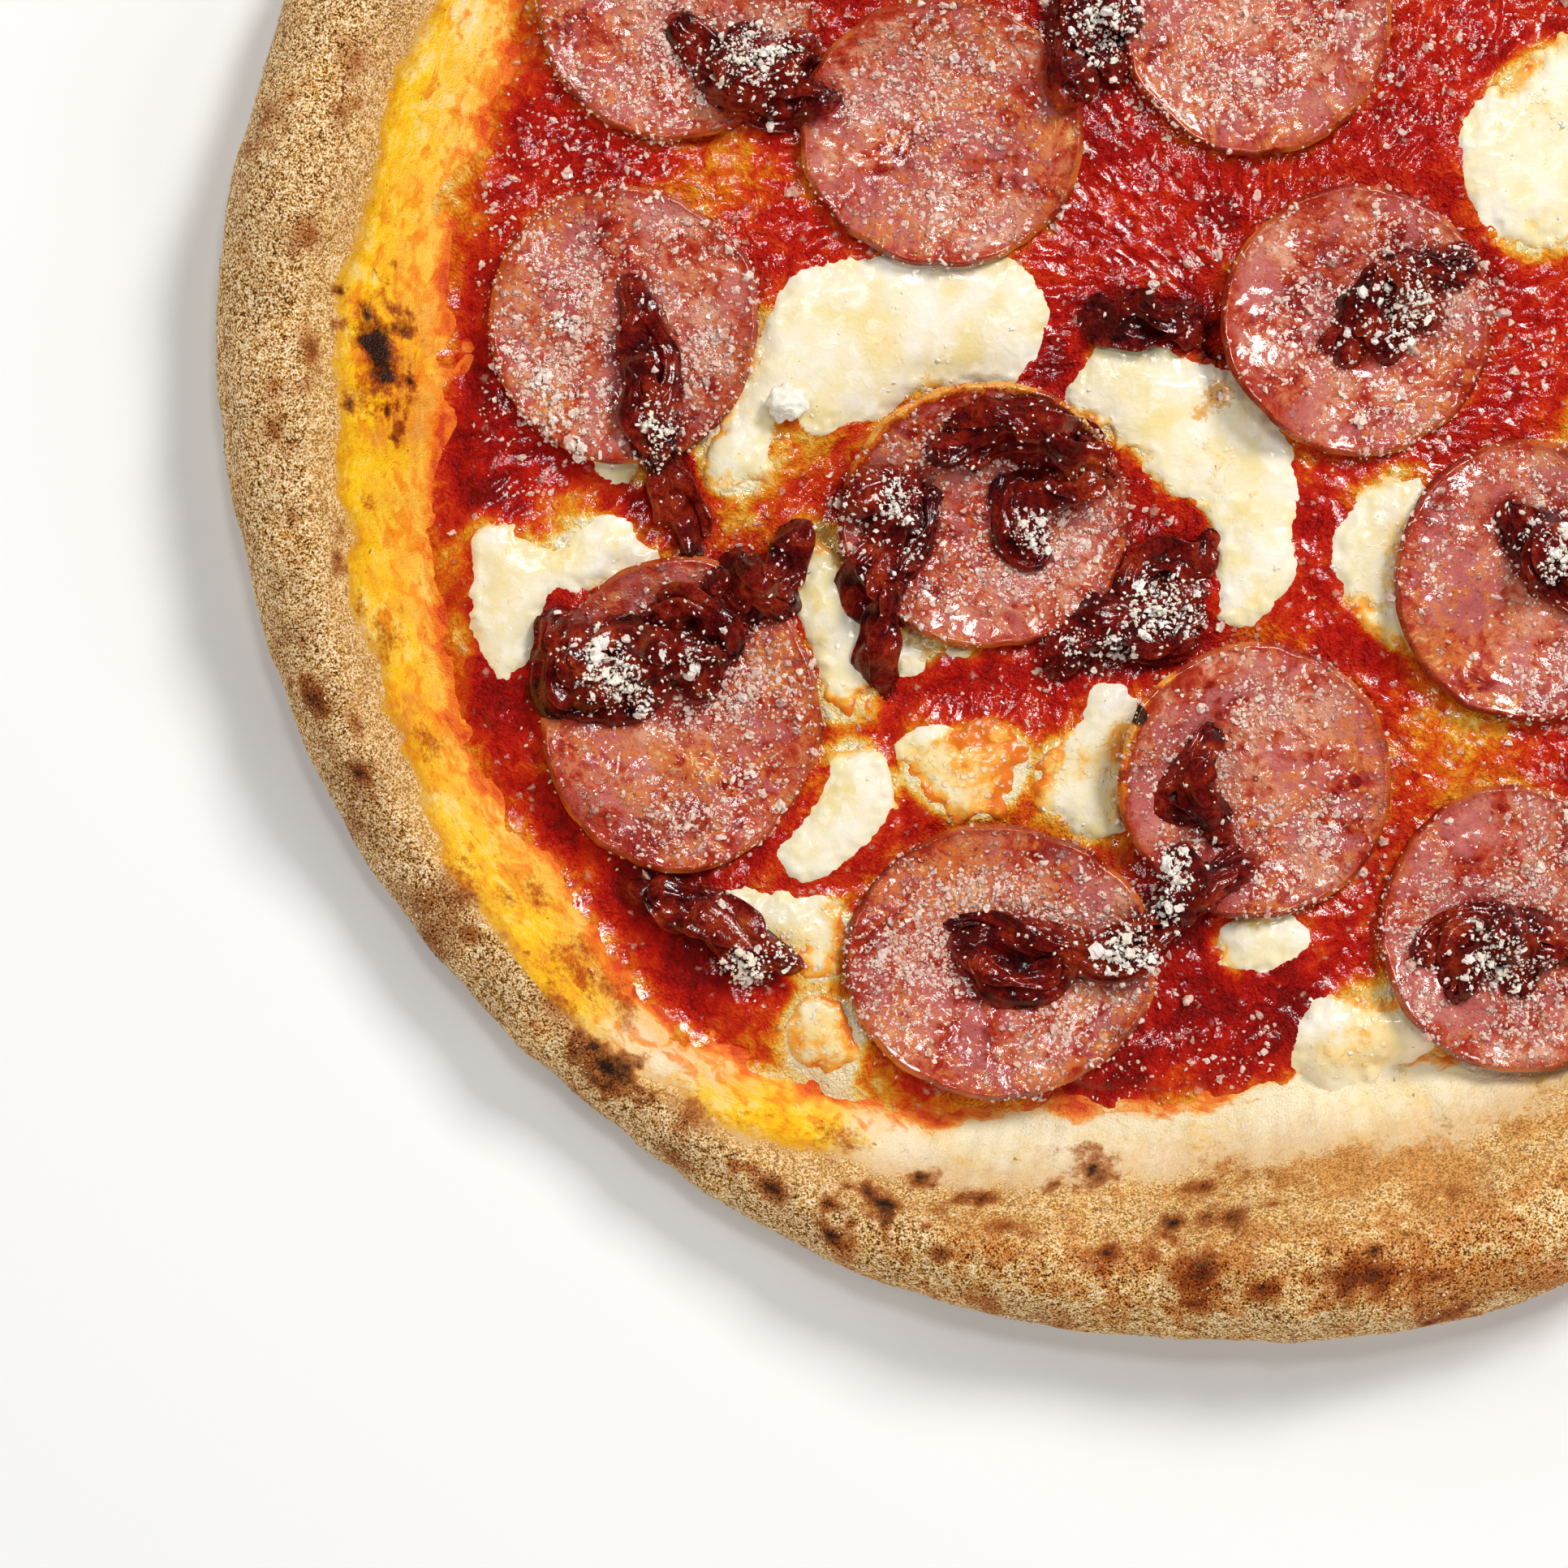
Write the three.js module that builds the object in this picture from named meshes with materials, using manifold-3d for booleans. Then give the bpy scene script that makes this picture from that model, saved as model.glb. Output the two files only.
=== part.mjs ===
// A baked salami pizza, 300 mm across, lying on its flat underside.
// Millimetres, +Z up. The origin is the middle of the underside.
// The pieces lie on each other in the order in which a cook puts them on:
// dough, sauce, pools of melted cheese, slices of salami, strips of cooked onion,
// and crumbs of grated cheese that stick to whatever they fell on.
import * as THREE from 'three';
import * as BufferGeometryUtils from 'three/addons/utils/BufferGeometryUtils.js';
import Module from 'manifold-3d';

const wasm = await Module();
wasm.setup();

// ---- Driving dimensions ----

const pizzaRadius = 150;
const baseThickness = 4;
const sauceThickness = 1.6;
const cheeseThickness = 1.9;
const salamiThickness = 1.6;
const stripEdgeThickness = 1;
const restGap = 0.3; // clearance between a piece and whatever it lies on

// The rim changes round the pizza. Each list goes counterclockwise from +X in equal steps.
const rimHeights = [19, 17, 18, 21, 22, 18, 17, 20, 22, 19, 15, 18, 23, 21, 18, 16];
const sauceEdges = [117, 121, 119, 114, 113, 118, 121, 116, 112, 124, 125, 124, 111, 113, 119, 122];

// Slices of salami: the middle, the two half widths, how far the edge curls up and towards where.
// bowl is how far the whole edge stands above the middle.
const slices = [
  { x: -89.5, y: 2.5, rx: 20.4, ry: 20.7, curl: 1.0, towards: 60, bowl: 0.4 },
  { x: -35.5, y: -26.5, rx: 22.1, ry: 19.8, curl: 6.5, towards: 95, bowl: 1.2 },
  { x: -81.0, y: -56.0, rx: 20.9, ry: 23.5, curl: 0.8, towards: 200, bowl: 0.3 },
  { x: -33.5, y: -93.0, rx: 23.2, ry: 20.5, curl: 1.5, towards: 280, bowl: 1.6 },
  { x: 5.0, y: -65.5, rx: 20.7, ry: 20.7, curl: 3.5, towards: 150, bowl: 1.2 },
  { x: 20.0, y: 3.0, rx: 20.4, ry: 20.4, curl: 3.0, towards: 190, bowl: 0.8 },
  { x: 44.0, y: -88.0, rx: 20.5, ry: 21.5, curl: 2.0, towards: 320, bowl: 0.8 },
  { x: 85.0, y: -42.0, rx: 21.8, ry: 20.2, curl: 4.5, towards: 30, bowl: 1.0 },
  { x: 91.0, y: 14.0, rx: 20.0, ry: 21.0, curl: 1.2, towards: 100, bowl: 0.5 },
  { x: 66.0, y: 68.0, rx: 22.5, ry: 20.4, curl: 2.2, towards: 20, bowl: 1.4 },
  { x: 14.0, y: 92.0, rx: 20.3, ry: 20.3, curl: 5.5, towards: 250, bowl: 1.0 },
  { x: -40.0, y: 82.0, rx: 21.0, ry: 22.8, curl: 0.8, towards: 150, bowl: 0.4 },
  { x: -82.0, y: 50.0, rx: 20.6, ry: 20.0, curl: 3.0, towards: 120, bowl: 0.8 },
  { x: 46.0, y: -36.0, rx: 20.6, ry: 21.2, curl: 1.4, towards: 240, bowl: 1.0 },
  { x: 5.0, y: 48.0, rx: 20.2, ry: 20.6, curl: 2.0, towards: 330, bowl: 0.6 },
  { x: -42.0, y: 31.0, rx: 21.4, ry: 20.2, curl: 4.0, towards: 70, bowl: 1.0 },
];

// Pools of melted cheese with an outline of their own: points that a smooth closed curve goes through.
const runnyPools = [
  [[-112.5, -27], [-106, -28], [-100.5, -31.5], [-96, -28], [-93, -25], [-88.5, -28], [-83.5, -33],
    [-93, -36.5], [-102, -39], [-102, -47.5], [-106, -51.5], [-111.5, -48], [-113, -38]],
  [[-69.5, 2.5], [-71.5, -6], [-78, -16], [-79, -21], [-71.5, -22.5], [-67.5, -17], [-67, -10],
    [-63, -13], [-51.5, -12], [-45, -7], [-34, -7], [-28, -4], [-26, 5], [-32, 13], [-49, 12.5], [-62, 11]],
  [[-18.5, -0.5], [-13, 1], [-5.5, -2.5], [3, -4.5], [9.5, -11], [11.5, -24], [9, -38],
    [4, -44.5], [-1, -40.5], [-0.5, -29], [-8, -21], [-16, -14.5], [-23, -10.5], [-22.5, -4.5]],
  [[-60.5, -27.5], [-57, -31], [-56, -37], [-52.5, -43], [-52, -53], [-55, -58], [-59.5, -56],
    [-60.5, -46], [-65, -38.5], [-65, -32]],
  [[-49.2, -43.5], [-43, -45], [-37, -47], [-43, -48.2], [-48.7, -50]],
  [[-57.5, -60.5], [-51, -61], [-48, -68], [-52.5, -73.5], [-60, -80.5], [-67.5, -79], [-68, -76],
    [-61.5, -70.5], [-59.5, -65]],
  [[-75, -83], [-66, -83.5], [-57, -84], [-56, -90], [-58, -96], [-65, -93.5], [-72, -88]],
  [[-20, -51.5], [-16, -49.5], [-12.5, -52], [-13.5, -62], [-16.5, -75.5], [-22, -74.5], [-27.5, -69],
    [-26, -62], [-21.5, -58.5]],
  [[-47, -58.5], [-38, -56.8], [-31, -58.5], [-29.5, -64], [-33, -70], [-43, -70], [-47.5, -65.5]],
  [[-94, -17], [-86, -17], [-86, -21], [-91, -21]],
  [[-0.5, -88.5], [6, -85], [13, -87], [13, -92], [6.5, -94], [0.5, -93]],
  [[-62, -98.5], [-56, -99.5], [-54.5, -105], [-58, -110], [-63, -108], [-65.5, -103]],
];

// Rounder pools: the middle, the two half widths and how far they are turned.
const roundPools = [
  { x: 21, y: -104, rx: 12, ry: 7, turn: 15 },
  { x: 68, y: -68, rx: 15, ry: 10, turn: 40 },
  { x: 26, y: -33, rx: 9, ry: 15, turn: 10 },
  { x: 67, y: -10, rx: 17, ry: 10, turn: 20 },
  { x: 53, y: 30, rx: 18, ry: 13, turn: 35 },
  { x: 93, y: 44, rx: 8, ry: 12, turn: 25 },
  { x: 38, y: 84, rx: 13, ry: 9, turn: 60 },
  { x: -16, y: 68, rx: 12, ry: 8, turn: 110 },
  { x: -62, y: 70, rx: 13, ry: 9, turn: 140 },
];

// Heaps of onion strips. A strip lies along a smooth path; lift raises it onto the strips below.
const laidHeaps = [
  [{ path: [[-89, 10], [-84.5, -7], [-84, -19.5], [-80, -27], [-79, -32]], width: 6.2, height: 3 },
    { path: [[-88, -1], [-86.5, -11], [-81.5, -19]], width: 4, height: 3, lift: 0.8 }],
  [{ path: [[-73, -31], [-71.5, -34], [-67.5, -39], [-63, -39.5]], width: 5, height: 3 },
    { path: [[-76, -34], [-73.5, -40], [-69, -42]], width: 5, height: 2.6 },
    { path: [[-66, -26.5], [-64.5, -31], [-67, -38]], width: 3.6, height: 2.4 }],
  [{ path: [[-100.5, -40], [-98, -46], [-98, -51], [-96, -57]], width: 7.4, height: 3.2 },
    { path: [[-90.5, -41], [-90, -49], [-92.5, -57]], width: 8.4, height: 3.8, lift: 0.3 },
    { path: [[-83.5, -44], [-85.5, -51], [-88, -56.5]], width: 6, height: 3.4 },
    { path: [[-86, -41], [-79.5, -40], [-74, -43], [-73, -48.5]], width: 5.4, height: 2.8 },
    { path: [[-81, -45], [-77, -49.5], [-79.5, -54.5]], width: 5, height: 2.8 },
    { path: [[-99, -50], [-91, -48], [-83, -47], [-73.5, -46]], width: 7, height: 3.6, lift: 0.5 }],
  [{ path: [[-89.5, -81.5], [-82, -84], [-75, -86.5], [-68.5, -91], [-63, -94]], width: 5.6, height: 3 },
    { path: [[-80, -85.5], [-74, -90], [-67, -96]], width: 4.4, height: 2.6 }],
  [{ path: [[-44, -17.5], [-37, -13.5], [-28.5, -13.5], [-21.5, -16.5], [-16, -21]], width: 7, height: 3.4 },
    { path: [[-18, -20.5], [-24, -22.5], [-30.5, -20.5]], width: 3.6, height: 2.6 },
    { path: [[-31.5, -20], [-31, -26.5], [-28.5, -31.5], [-26, -29]], width: 5.6, height: 3.4 }],
  [{ path: [[-45.5, -20.5], [-51, -22], [-58, -25]], width: 4.4, height: 2.6 },
    { path: [[-48, -22.5], [-50.5, -30.5], [-52.5, -37], [-48.5, -40]], width: 6.8, height: 3.4 },
    { path: [[-45.5, -22], [-45, -29], [-49, -36.5]], width: 5, height: 3 },
    { path: [[-51, -37], [-51.5, -45], [-50.5, -51], [-48.5, -53.5]], width: 2.8, height: 2.2 }],
  [{ path: [[-26, -50], [-20, -45], [-13, -41], [-6.5, -39], [-2.5, -36]], width: 7.4, height: 3.8 },
    { path: [[-14, -41], [-12.5, -34.5], [-8, -32.5], [-3, -33], [-2.5, -26.5]], width: 2.8, height: 2.4 },
    { path: [[-15, -46], [-9.5, -45.5], [-4.5, -42]], width: 6, height: 3.2 }],
  [{ path: [[-22, 4], [-13, 3], [-6.5, 2.5], [-2, 0]], width: 4.6, height: 3 },
    { path: [[-16, 7], [-9, 3.5], [-3, 5]], width: 4, height: 2.8 }],
  [{ path: [[-0.5, -57.5], [-5, -63], [-8, -68.5], [-2, -70.5], [0.5, -76]], width: 3.8, height: 2.6 },
    { path: [[-2, -61], [-4, -67], [1, -72]], width: 3.4, height: 2.4 }],
  [{ path: [[-41, -90], [-33.5, -88.5], [-25, -90.5], [-17.5, -92.5], [-11.5, -88.5], [-6.5, -85], [0, -80],
    [5, -77.5]], width: 6.2, height: 3.2 },
    { path: [[-40, -91], [-33.5, -95.5], [-26, -95], [-22, -92]], width: 4, height: 2.6 },
    { path: [[-9, -77.5], [-4.5, -80.5], [-6.5, -88]], width: 5.6, height: 3, lift: 0.6 }],
];

// Heaps that are alike but not the same: the middle, the way they point and how long they are.
const tangledHeaps = [
  { x: 27, y: 5, turn: 40, length: 25 },
  { x: 51, y: -32, turn: 150, length: 24 },
  { x: 41, y: -92, turn: 10, length: 26 },
  { x: 87, y: -38, turn: 70, length: 23 },
  { x: 84, y: 22, turn: 115, length: 25 },
  { x: 60, y: 60, turn: 130, length: 27 },
  { x: 10, y: 86, turn: 20, length: 24 },
  { x: -18, y: 47, turn: 75, length: 26 },
  { x: -70, y: 42, turn: 160, length: 28 },
];

// Where grated cheese clings in clumps: how far they spread, and how many of its larger crumbs show.
const clumps = [
  { x: -91, y: -50, spread: 5, crumbs: 4, radius: 1.5 },
  { x: -84.5, y: -13, spread: 3, crumbs: 1, radius: 1.4 },
  { x: -49, y: -24, spread: 4, crumbs: 2, radius: 1.5 },
  { x: -28.5, y: -29, spread: 3, crumbs: 2, radius: 1.4 },
  { x: -9, y: -40, spread: 5, crumbs: 3, radius: 1.6 },
  { x: -7, y: -80, spread: 4, crumbs: 3, radius: 1.6 },
  { x: -14, y: -91, spread: 4, crumbs: 2, radius: 1.5 },
  { x: -71, y: -94, spread: 4, crumbs: 2, radius: 1.5 },
  { x: -65, y: -9, spread: 0, crumbs: 1, radius: 2.6 },
];
// Single crumbs lie all over the filling, from the largest to the smallest that show as shapes.
const scattered = { crumbs: 30, largest: 1.6, smallest: 0.9, reach: 108 };

// Seeds of the draws that make each pool, heap and crumb a little different.
const seeds = { pools: 5, heaps: 3, crumbs: 11 };

// How finely the shapes are cut into facets.
const doughSectors = 92;
const sauceSectors = 40;
const sliceSectors = 16;
const stripStep = 9;
const poolStep = 6;

// ---- Small tools ----

const turnToRadians = THREE.MathUtils.degToRad;

// The same draws every time, so the pizza is always the same one.
function seededRandom(seed) {
  let state = seed;
  return () => {
    state = (state + 0x6d2b79f5) | 0;
    let mixed = Math.imul(state ^ (state >>> 15), 1 | state);
    mixed = (mixed + Math.imul(mixed ^ (mixed >>> 7), 61 | mixed)) ^ mixed;
    return ((mixed ^ (mixed >>> 14)) >>> 0) / 4294967296;
  };
}

// A smooth value between the entries of a list that goes once round the pizza.
function around(list, angle) {
  const place = (angle / (2 * Math.PI) + 1) * list.length;
  const before = Math.floor(place);
  const t = place - before;
  const entry = (offset) => list[(before + offset + 2 * list.length) % list.length];
  const spread = entry(1) - entry(-1);
  const spreadNext = entry(2) - entry(0);
  const rise = entry(1) - entry(0);
  const cubic = 0.5 * (spread + spreadNext) - 2 * rise;
  const square = 3 * rise - spread - 0.5 * spreadNext;
  return entry(0) + t * (0.5 * spread + t * (square + t * cubic));
}

// A closed geometry from points and triangles, turned so that its faces point out.
function closedGeometry(points, triangles) {
  const geometry = new THREE.BufferGeometry().setFromPoints(points);
  const volume = triangles.reduce((sum, [a, b, c]) => {
    const normal = new THREE.Vector3().crossVectors(points[b], points[c]);
    return sum + points[a].dot(normal);
  }, 0);
  const ordered = volume > 0 ? triangles : triangles.map(([a, b, c]) => [a, c, b]);
  geometry.setIndex(ordered.flat());
  return geometry;
}

// A body through a row of rings with the same number of points, pinched shut by a point at each end.
function loft(first, rings, last) {
  const count = rings[0].length;
  const points = [first, ...rings.flat(), last];
  const at = (ring, i) => 1 + ring * count + (i % count);
  const triangles = [];
  for (let i = 0; i < count; i += 1) {
    triangles.push([0, at(0, i + 1), at(0, i)]);
    for (let ring = 0; ring + 1 < rings.length; ring += 1) {
      triangles.push([at(ring, i), at(ring, i + 1), at(ring + 1, i + 1)]);
      triangles.push([at(ring, i), at(ring + 1, i + 1), at(ring + 1, i)]);
    }
    triangles.push([at(rings.length - 1, i), at(rings.length - 1, i + 1), points.length - 1]);
  }
  return closedGeometry(points, triangles);
}

// ---- The relief: how high the pizza is at each place, and which piece lies on top there ----

const cell = 0.6;
const cellsAcross = 2 * Math.ceil((pizzaRadius + 5) / cell) + 1;
const reliefHeights = new Float32Array(cellsAcross * cellsAcross);
const reliefOwners = new Int16Array(cellsAcross * cellsAcross).fill(-1);

const toCell = (length) => Math.round(length / cell) + (cellsAcross - 1) / 2;
const fromCell = (index) => (index - (cellsAcross - 1) / 2) * cell;

// Visits the cells that a triangle covers, seen from above, and those along its sides, with its height there.
function visitCells(a, b, c, visit) {
  const doubleArea = (b.x - a.x) * (c.y - a.y) - (c.x - a.x) * (b.y - a.y);
  const columns = [a, b, c].map((point) => toCell(point.x));
  const rows = [a, b, c].map((point) => toCell(point.y));
  for (let row = Math.min(...rows); row <= Math.max(...rows); row += 1) {
    for (let column = Math.min(...columns); column <= Math.max(...columns); column += 1) {
      const x = fromCell(column);
      const y = fromCell(row);
      const shareB = ((x - a.x) * (c.y - a.y) - (c.x - a.x) * (y - a.y)) / doubleArea;
      const shareC = ((b.x - a.x) * (y - a.y) - (x - a.x) * (b.y - a.y)) / doubleArea;
      const shareA = 1 - shareB - shareC;
      if (Math.min(shareA, shareB, shareC) >= -1e-6) {
        visit(row * cellsAcross + column, shareA * a.z + shareB * b.z + shareC * c.z);
      }
    }
  }
  for (const [from, to] of [[a, b], [b, c], [c, a]]) {
    const steps = Math.ceil(from.distanceTo(to) / cell);
    for (let step = 0; step <= steps; step += 1) {
      const point = from.clone().lerp(to, step / steps);
      visit(toCell(point.y) * cellsAcross + toCell(point.x), point.z);
    }
  }
}

function stamp(geometry, owner) {
  const position = geometry.getAttribute('position');
  const index = geometry.getIndex();
  const corner = (i) => new THREE.Vector3().fromBufferAttribute(position, index.getX(i));
  const mark = (place, height) => {
    if (height > reliefHeights[place]) {
      reliefHeights[place] = height;
      reliefOwners[place] = owner;
    }
  };
  for (let i = 0; i < index.count; i += 3) {
    const corners = [corner(i), corner(i + 1), corner(i + 2)];
    visitCells(...corners, mark);
  }
}

// Calls visit for each cell within reach of a place.
function visitAround(x, y, reach, visit) {
  const steps = Math.ceil(reach / cell);
  for (let row = toCell(y) - steps; row <= toCell(y) + steps; row += 1) {
    for (let column = toCell(x) - steps; column <= toCell(x) + steps; column += 1) {
      if (Math.hypot(fromCell(column) - x, fromCell(row) - y) <= reach + cell) {
        visit(row * cellsAcross + column);
      }
    }
  }
}

function highest(x, y, reach) {
  let height = 0;
  visitAround(x, y, reach, (place) => {
    height = Math.max(height, reliefHeights[place]);
  });
  return height;
}

// The highest of a cell and the eight round it, so that nothing between the cells' middles is missed.
function heightNear(place) {
  let height = 0;
  for (const row of [-cellsAcross, 0, cellsAcross]) {
    for (const column of [-1, 0, 1]) {
      height = Math.max(height, reliefHeights[place + row + column]);
    }
  }
  return height;
}

// ---- A soft sheet: cheese, salami or sauce that sags onto whatever is under it ----

// points have x, y, lift above the relief and thickness; edge lists the points of the outline in order.
function sheetGeometry({ points, triangles, edge }) {
  const under = points.map((point) => {
    const height = heightNear(toCell(point.y) * cellsAcross + toCell(point.x));
    return new THREE.Vector3(point.x, point.y, height + restGap);
  });
  for (let pass = 0; pass < 60; pass += 1) {
    let raised = false;
    for (const corners of triangles) {
      let shortfall = 0;
      visitCells(...corners.map((i) => under[i]), (place, height) => {
        shortfall = Math.max(shortfall, heightNear(place) + restGap - height);
      });
      if (shortfall > 0.01) {
        raised = true;
        corners.forEach((i) => {
          under[i].z += shortfall;
        });
      }
    }
    if (!raised) {
      break;
    }
  }
  const lower = under.map((point, i) => point.clone().setZ(point.z + points[i].lift));
  const upper = lower.map((point, i) => point.clone().setZ(point.z + points[i].thickness));
  const shift = points.length;
  const faces = [];
  for (const [a, b, c] of triangles) {
    faces.push([a, c, b], [a + shift, b + shift, c + shift]);
  }
  edge.forEach((from, i) => {
    const to = edge[(i + 1) % edge.length];
    faces.push([from, to, to + shift], [from, to + shift, from + shift]);
  });
  return closedGeometry([...lower, ...upper], faces);
}

// A round sheet from rings about its middle. place(share, angle) gives a point of the ring at that
// share of the radius.
function roundSheet(sectors, shares, place) {
  const points = [place(0, 0)];
  for (const share of shares) {
    for (let i = 0; i < sectors; i += 1) {
      points.push(place(share, (i / sectors) * 2 * Math.PI));
    }
  }
  const at = (ring, i) => 1 + ring * sectors + (i % sectors);
  const triangles = [];
  for (let i = 0; i < sectors; i += 1) {
    triangles.push([0, at(0, i), at(0, i + 1)]);
    for (let ring = 0; ring + 1 < shares.length; ring += 1) {
      triangles.push([at(ring, i), at(ring + 1, i), at(ring + 1, i + 1)]);
      triangles.push([at(ring, i), at(ring + 1, i + 1), at(ring, i + 1)]);
    }
  }
  const edge = Array.from({ length: sectors }, (_, i) => at(shares.length - 1, i));
  return { points, triangles, edge };
}

// A sheet inside a smooth outline: full thickness from a margin inwards, thin at the very edge.
function outlinedSheet(outline, margin, thickness, edgeThickness) {
  if (THREE.ShapeUtils.area(outline) < 0) {
    outline.reverse();
  }
  const count = outline.length;
  const inner = outline.map((point, i) => {
    const along = outline[(i + 1) % count].clone().sub(outline[(i + count - 1) % count]).normalize();
    return new THREE.Vector2(point.x - along.y * margin, point.y + along.x * margin);
  });
  const points = [
    ...outline.map(({ x, y }) => ({ x, y, lift: 0, thickness: edgeThickness })),
    ...inner.map(({ x, y }) => ({ x, y, lift: 0, thickness })),
  ];
  const triangles = THREE.ShapeUtils.triangulateShape(inner, []).map((face) => face.map((i) => i + count));
  for (let i = 0; i < count; i += 1) {
    const next = (i + 1) % count;
    triangles.push([i, next, next + count], [i, next + count, i + count]);
  }
  return { points, triangles, edge: outline.map((_, i) => i) };
}

// ---- Dough ----

// Even waves only: they leave the outline's middle where it is.
function outerRadius(angle) {
  return pizzaRadius + 0.5 * Math.sin(4 * angle + 1) + 0.35 * Math.sin(10 * angle + 2.1) - 0.4;
}

function rimHeight(angle) {
  const swells = 0.9 * Math.sin(13 * angle + 0.7) + 0.7 * Math.sin(21 * angle + 2);
  const blisters = 0.4 * Math.sin(34 * angle);
  return around(rimHeights, angle) + swells + blisters;
}

function sauceEdge(angle) {
  return around(sauceEdges, angle) + 1.4 * Math.sin(11 * angle + 0.4) + 0.9 * Math.sin(19 * angle + 1.1);
}

function doughGeometry() {
  // Each step gives a radius and a height at one angle, from the underside round to the foot of the rim.
  const steps = [(r) => [r.outer - 9, 0], (r) => [r.outer - 2.5, 2.2]];
  for (const climb of [0, 30, 58, 90]) {
    const along = Math.cos(turnToRadians(climb));
    const up = 0.4 + 0.6 * Math.sin(turnToRadians(climb));
    steps.push((r) => [r.crest + (r.outer - r.crest) * along, r.height * up]);
  }
  for (const share of [0.25, 0.5, 0.75, 1]) {
    const fall = 1 - THREE.MathUtils.smoothstep(share, -0.15, 1);
    steps.push((r) => {
      const height = baseThickness + (r.height - baseThickness) * fall;
      return [r.crest + (r.foot - r.crest) * share, height];
    });
  }
  const rings = steps.map((step) => Array.from({ length: doughSectors }, (_, i) => {
    const angle = (i / doughSectors) * 2 * Math.PI;
    const outer = outerRadius(angle);
    const foot = sauceEdge(angle) + 1.5;
    const crest = foot + (outer - foot) * 0.6;
    const [radius, height] = step({ outer, foot, crest, height: rimHeight(angle) });
    return new THREE.Vector3(radius * Math.cos(angle), radius * Math.sin(angle), height);
  }));
  return loft(new THREE.Vector3(0, 0, 0), rings, new THREE.Vector3(0, 0, baseThickness));
}

// ---- Sauce ----

function sauceGeometry() {
  return sheetGeometry(roundSheet(sauceSectors, [0.5, 0.95, 1], (share, angle) => {
    const radius = share * sauceEdge(angle);
    const lumps = 0.3 * Math.sin(7 * angle + 9 * share) * Math.sin(5 * share + 2 * angle);
    return {
      x: radius * Math.cos(angle),
      y: radius * Math.sin(angle),
      lift: 0,
      thickness: share === 1 ? 0.6 : sauceThickness + lumps,
    };
  }));
}

// ---- Cheese pools ----

function smoothOutline(corners, spacing) {
  const curve = new THREE.CatmullRomCurve3(corners.map(([x, y]) => new THREE.Vector3(x, y, 0)), true);
  const count = Math.max(10, Math.round(curve.getLength() / spacing));
  return curve.getSpacedPoints(count).slice(0, count).map(({ x, y }) => new THREE.Vector2(x, y));
}

function roundPoolCorners({ x, y, rx, ry, turn }, random) {
  const corners = 9;
  return Array.from({ length: corners }, (_, i) => {
    const angle = (i / corners) * 2 * Math.PI;
    const reach = 0.78 + 0.44 * random();
    const point = new THREE.Vector2(rx * reach * Math.cos(angle), ry * reach * Math.sin(angle));
    point.rotateAround(new THREE.Vector2(), turnToRadians(turn));
    return [x + point.x, y + point.y];
  });
}

function poolGeometry(corners) {
  const outline = smoothOutline(corners, poolStep);
  const margin = Math.min(1.1, 0.1 * Math.sqrt(Math.abs(THREE.ShapeUtils.area(outline))));
  return sheetGeometry(outlinedSheet(outline, margin, cheeseThickness, 0.6));
}

// ---- Salami ----

function sliceGeometry({ x, y, rx, ry, curl, towards, bowl }) {
  return sheetGeometry(roundSheet(sliceSectors, [0.5, 0.86, 1], (share, angle) => {
    const facing = Math.max(0, Math.cos(angle - turnToRadians(towards)));
    return {
      x: x + rx * share * Math.cos(angle),
      y: y + ry * share * Math.sin(angle),
      lift: curl * facing ** 1.5 * share ** 2 + bowl * share ** 4,
      thickness: salamiThickness,
    };
  }));
}

// ---- Onions ----

// One strip: thick along its middle, thin at its sides, narrower at its ends, sagging onto what it crosses.
function stripGeometry({ path, width, height, lift = 0 }) {
  const corners = path.map(([x, y]) => new THREE.Vector3(x, y, 0));
  const curve = new THREE.CatmullRomCurve3(corners, false, 'centripetal');
  const sections = Math.max(3, Math.round(curve.getLength() / stripStep));
  const points = [];
  const triangles = [];
  for (let i = 0; i <= sections; i += 1) {
    const share = i / sections;
    const middle = curve.getPointAt(share);
    const along = curve.getTangentAt(share);
    const fullness = Math.sin(Math.PI * (0.1 + 0.8 * share)) ** 0.6;
    for (const side of [-1, 0, 1]) {
      const out = 0.5 * width * fullness * side;
      const thickness = side === 0 ? height * fullness : stripEdgeThickness;
      points.push({ x: middle.x - along.y * out, y: middle.y + along.x * out, lift, thickness });
    }
    for (const corner of i < sections ? [3 * i, 3 * i + 1] : []) {
      triangles.push([corner, corner + 3, corner + 4], [corner, corner + 4, corner + 1]);
    }
  }
  const lastCorner = 3 * sections;
  const rightSide = Array.from({ length: sections + 1 }, (_, i) => 3 * i);
  const leftSide = rightSide.map((corner) => corner + 2).reverse();
  return sheetGeometry({ points, triangles, edge: [...rightSide, lastCorner + 1, ...leftSide, 1] });
}

function tangledStrips({ x, y, turn, length }, random) {
  const place = (along, across) => {
    const point = new THREE.Vector2(along * length, across * length);
    point.rotateAround(new THREE.Vector2(), turnToRadians(turn));
    return [x + point.x, y + point.y];
  };
  const wander = () => 0.12 * (random() - 0.5);
  const bend = 0.14 + 0.08 * random();
  return [
    { path: [place(-0.5, wander()), place(-0.15, bend), place(0.2, bend * 0.6), place(0.5, wander() - 0.1)],
      width: 6.4, height: 3.2 },
    { path: [place(-0.3, -0.2), place(-0.08, 0.04 + wander()), place(0.22, 0.22 + wander())],
      width: 5.4, height: 3, lift: 0.6 },
    { path: [place(0.05, -0.24 + wander()), place(0.12, 0.08), place(0.0, 0.32 + wander())],
      width: 4, height: 2.6 },
  ];
}

// ---- Joining ----

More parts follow.
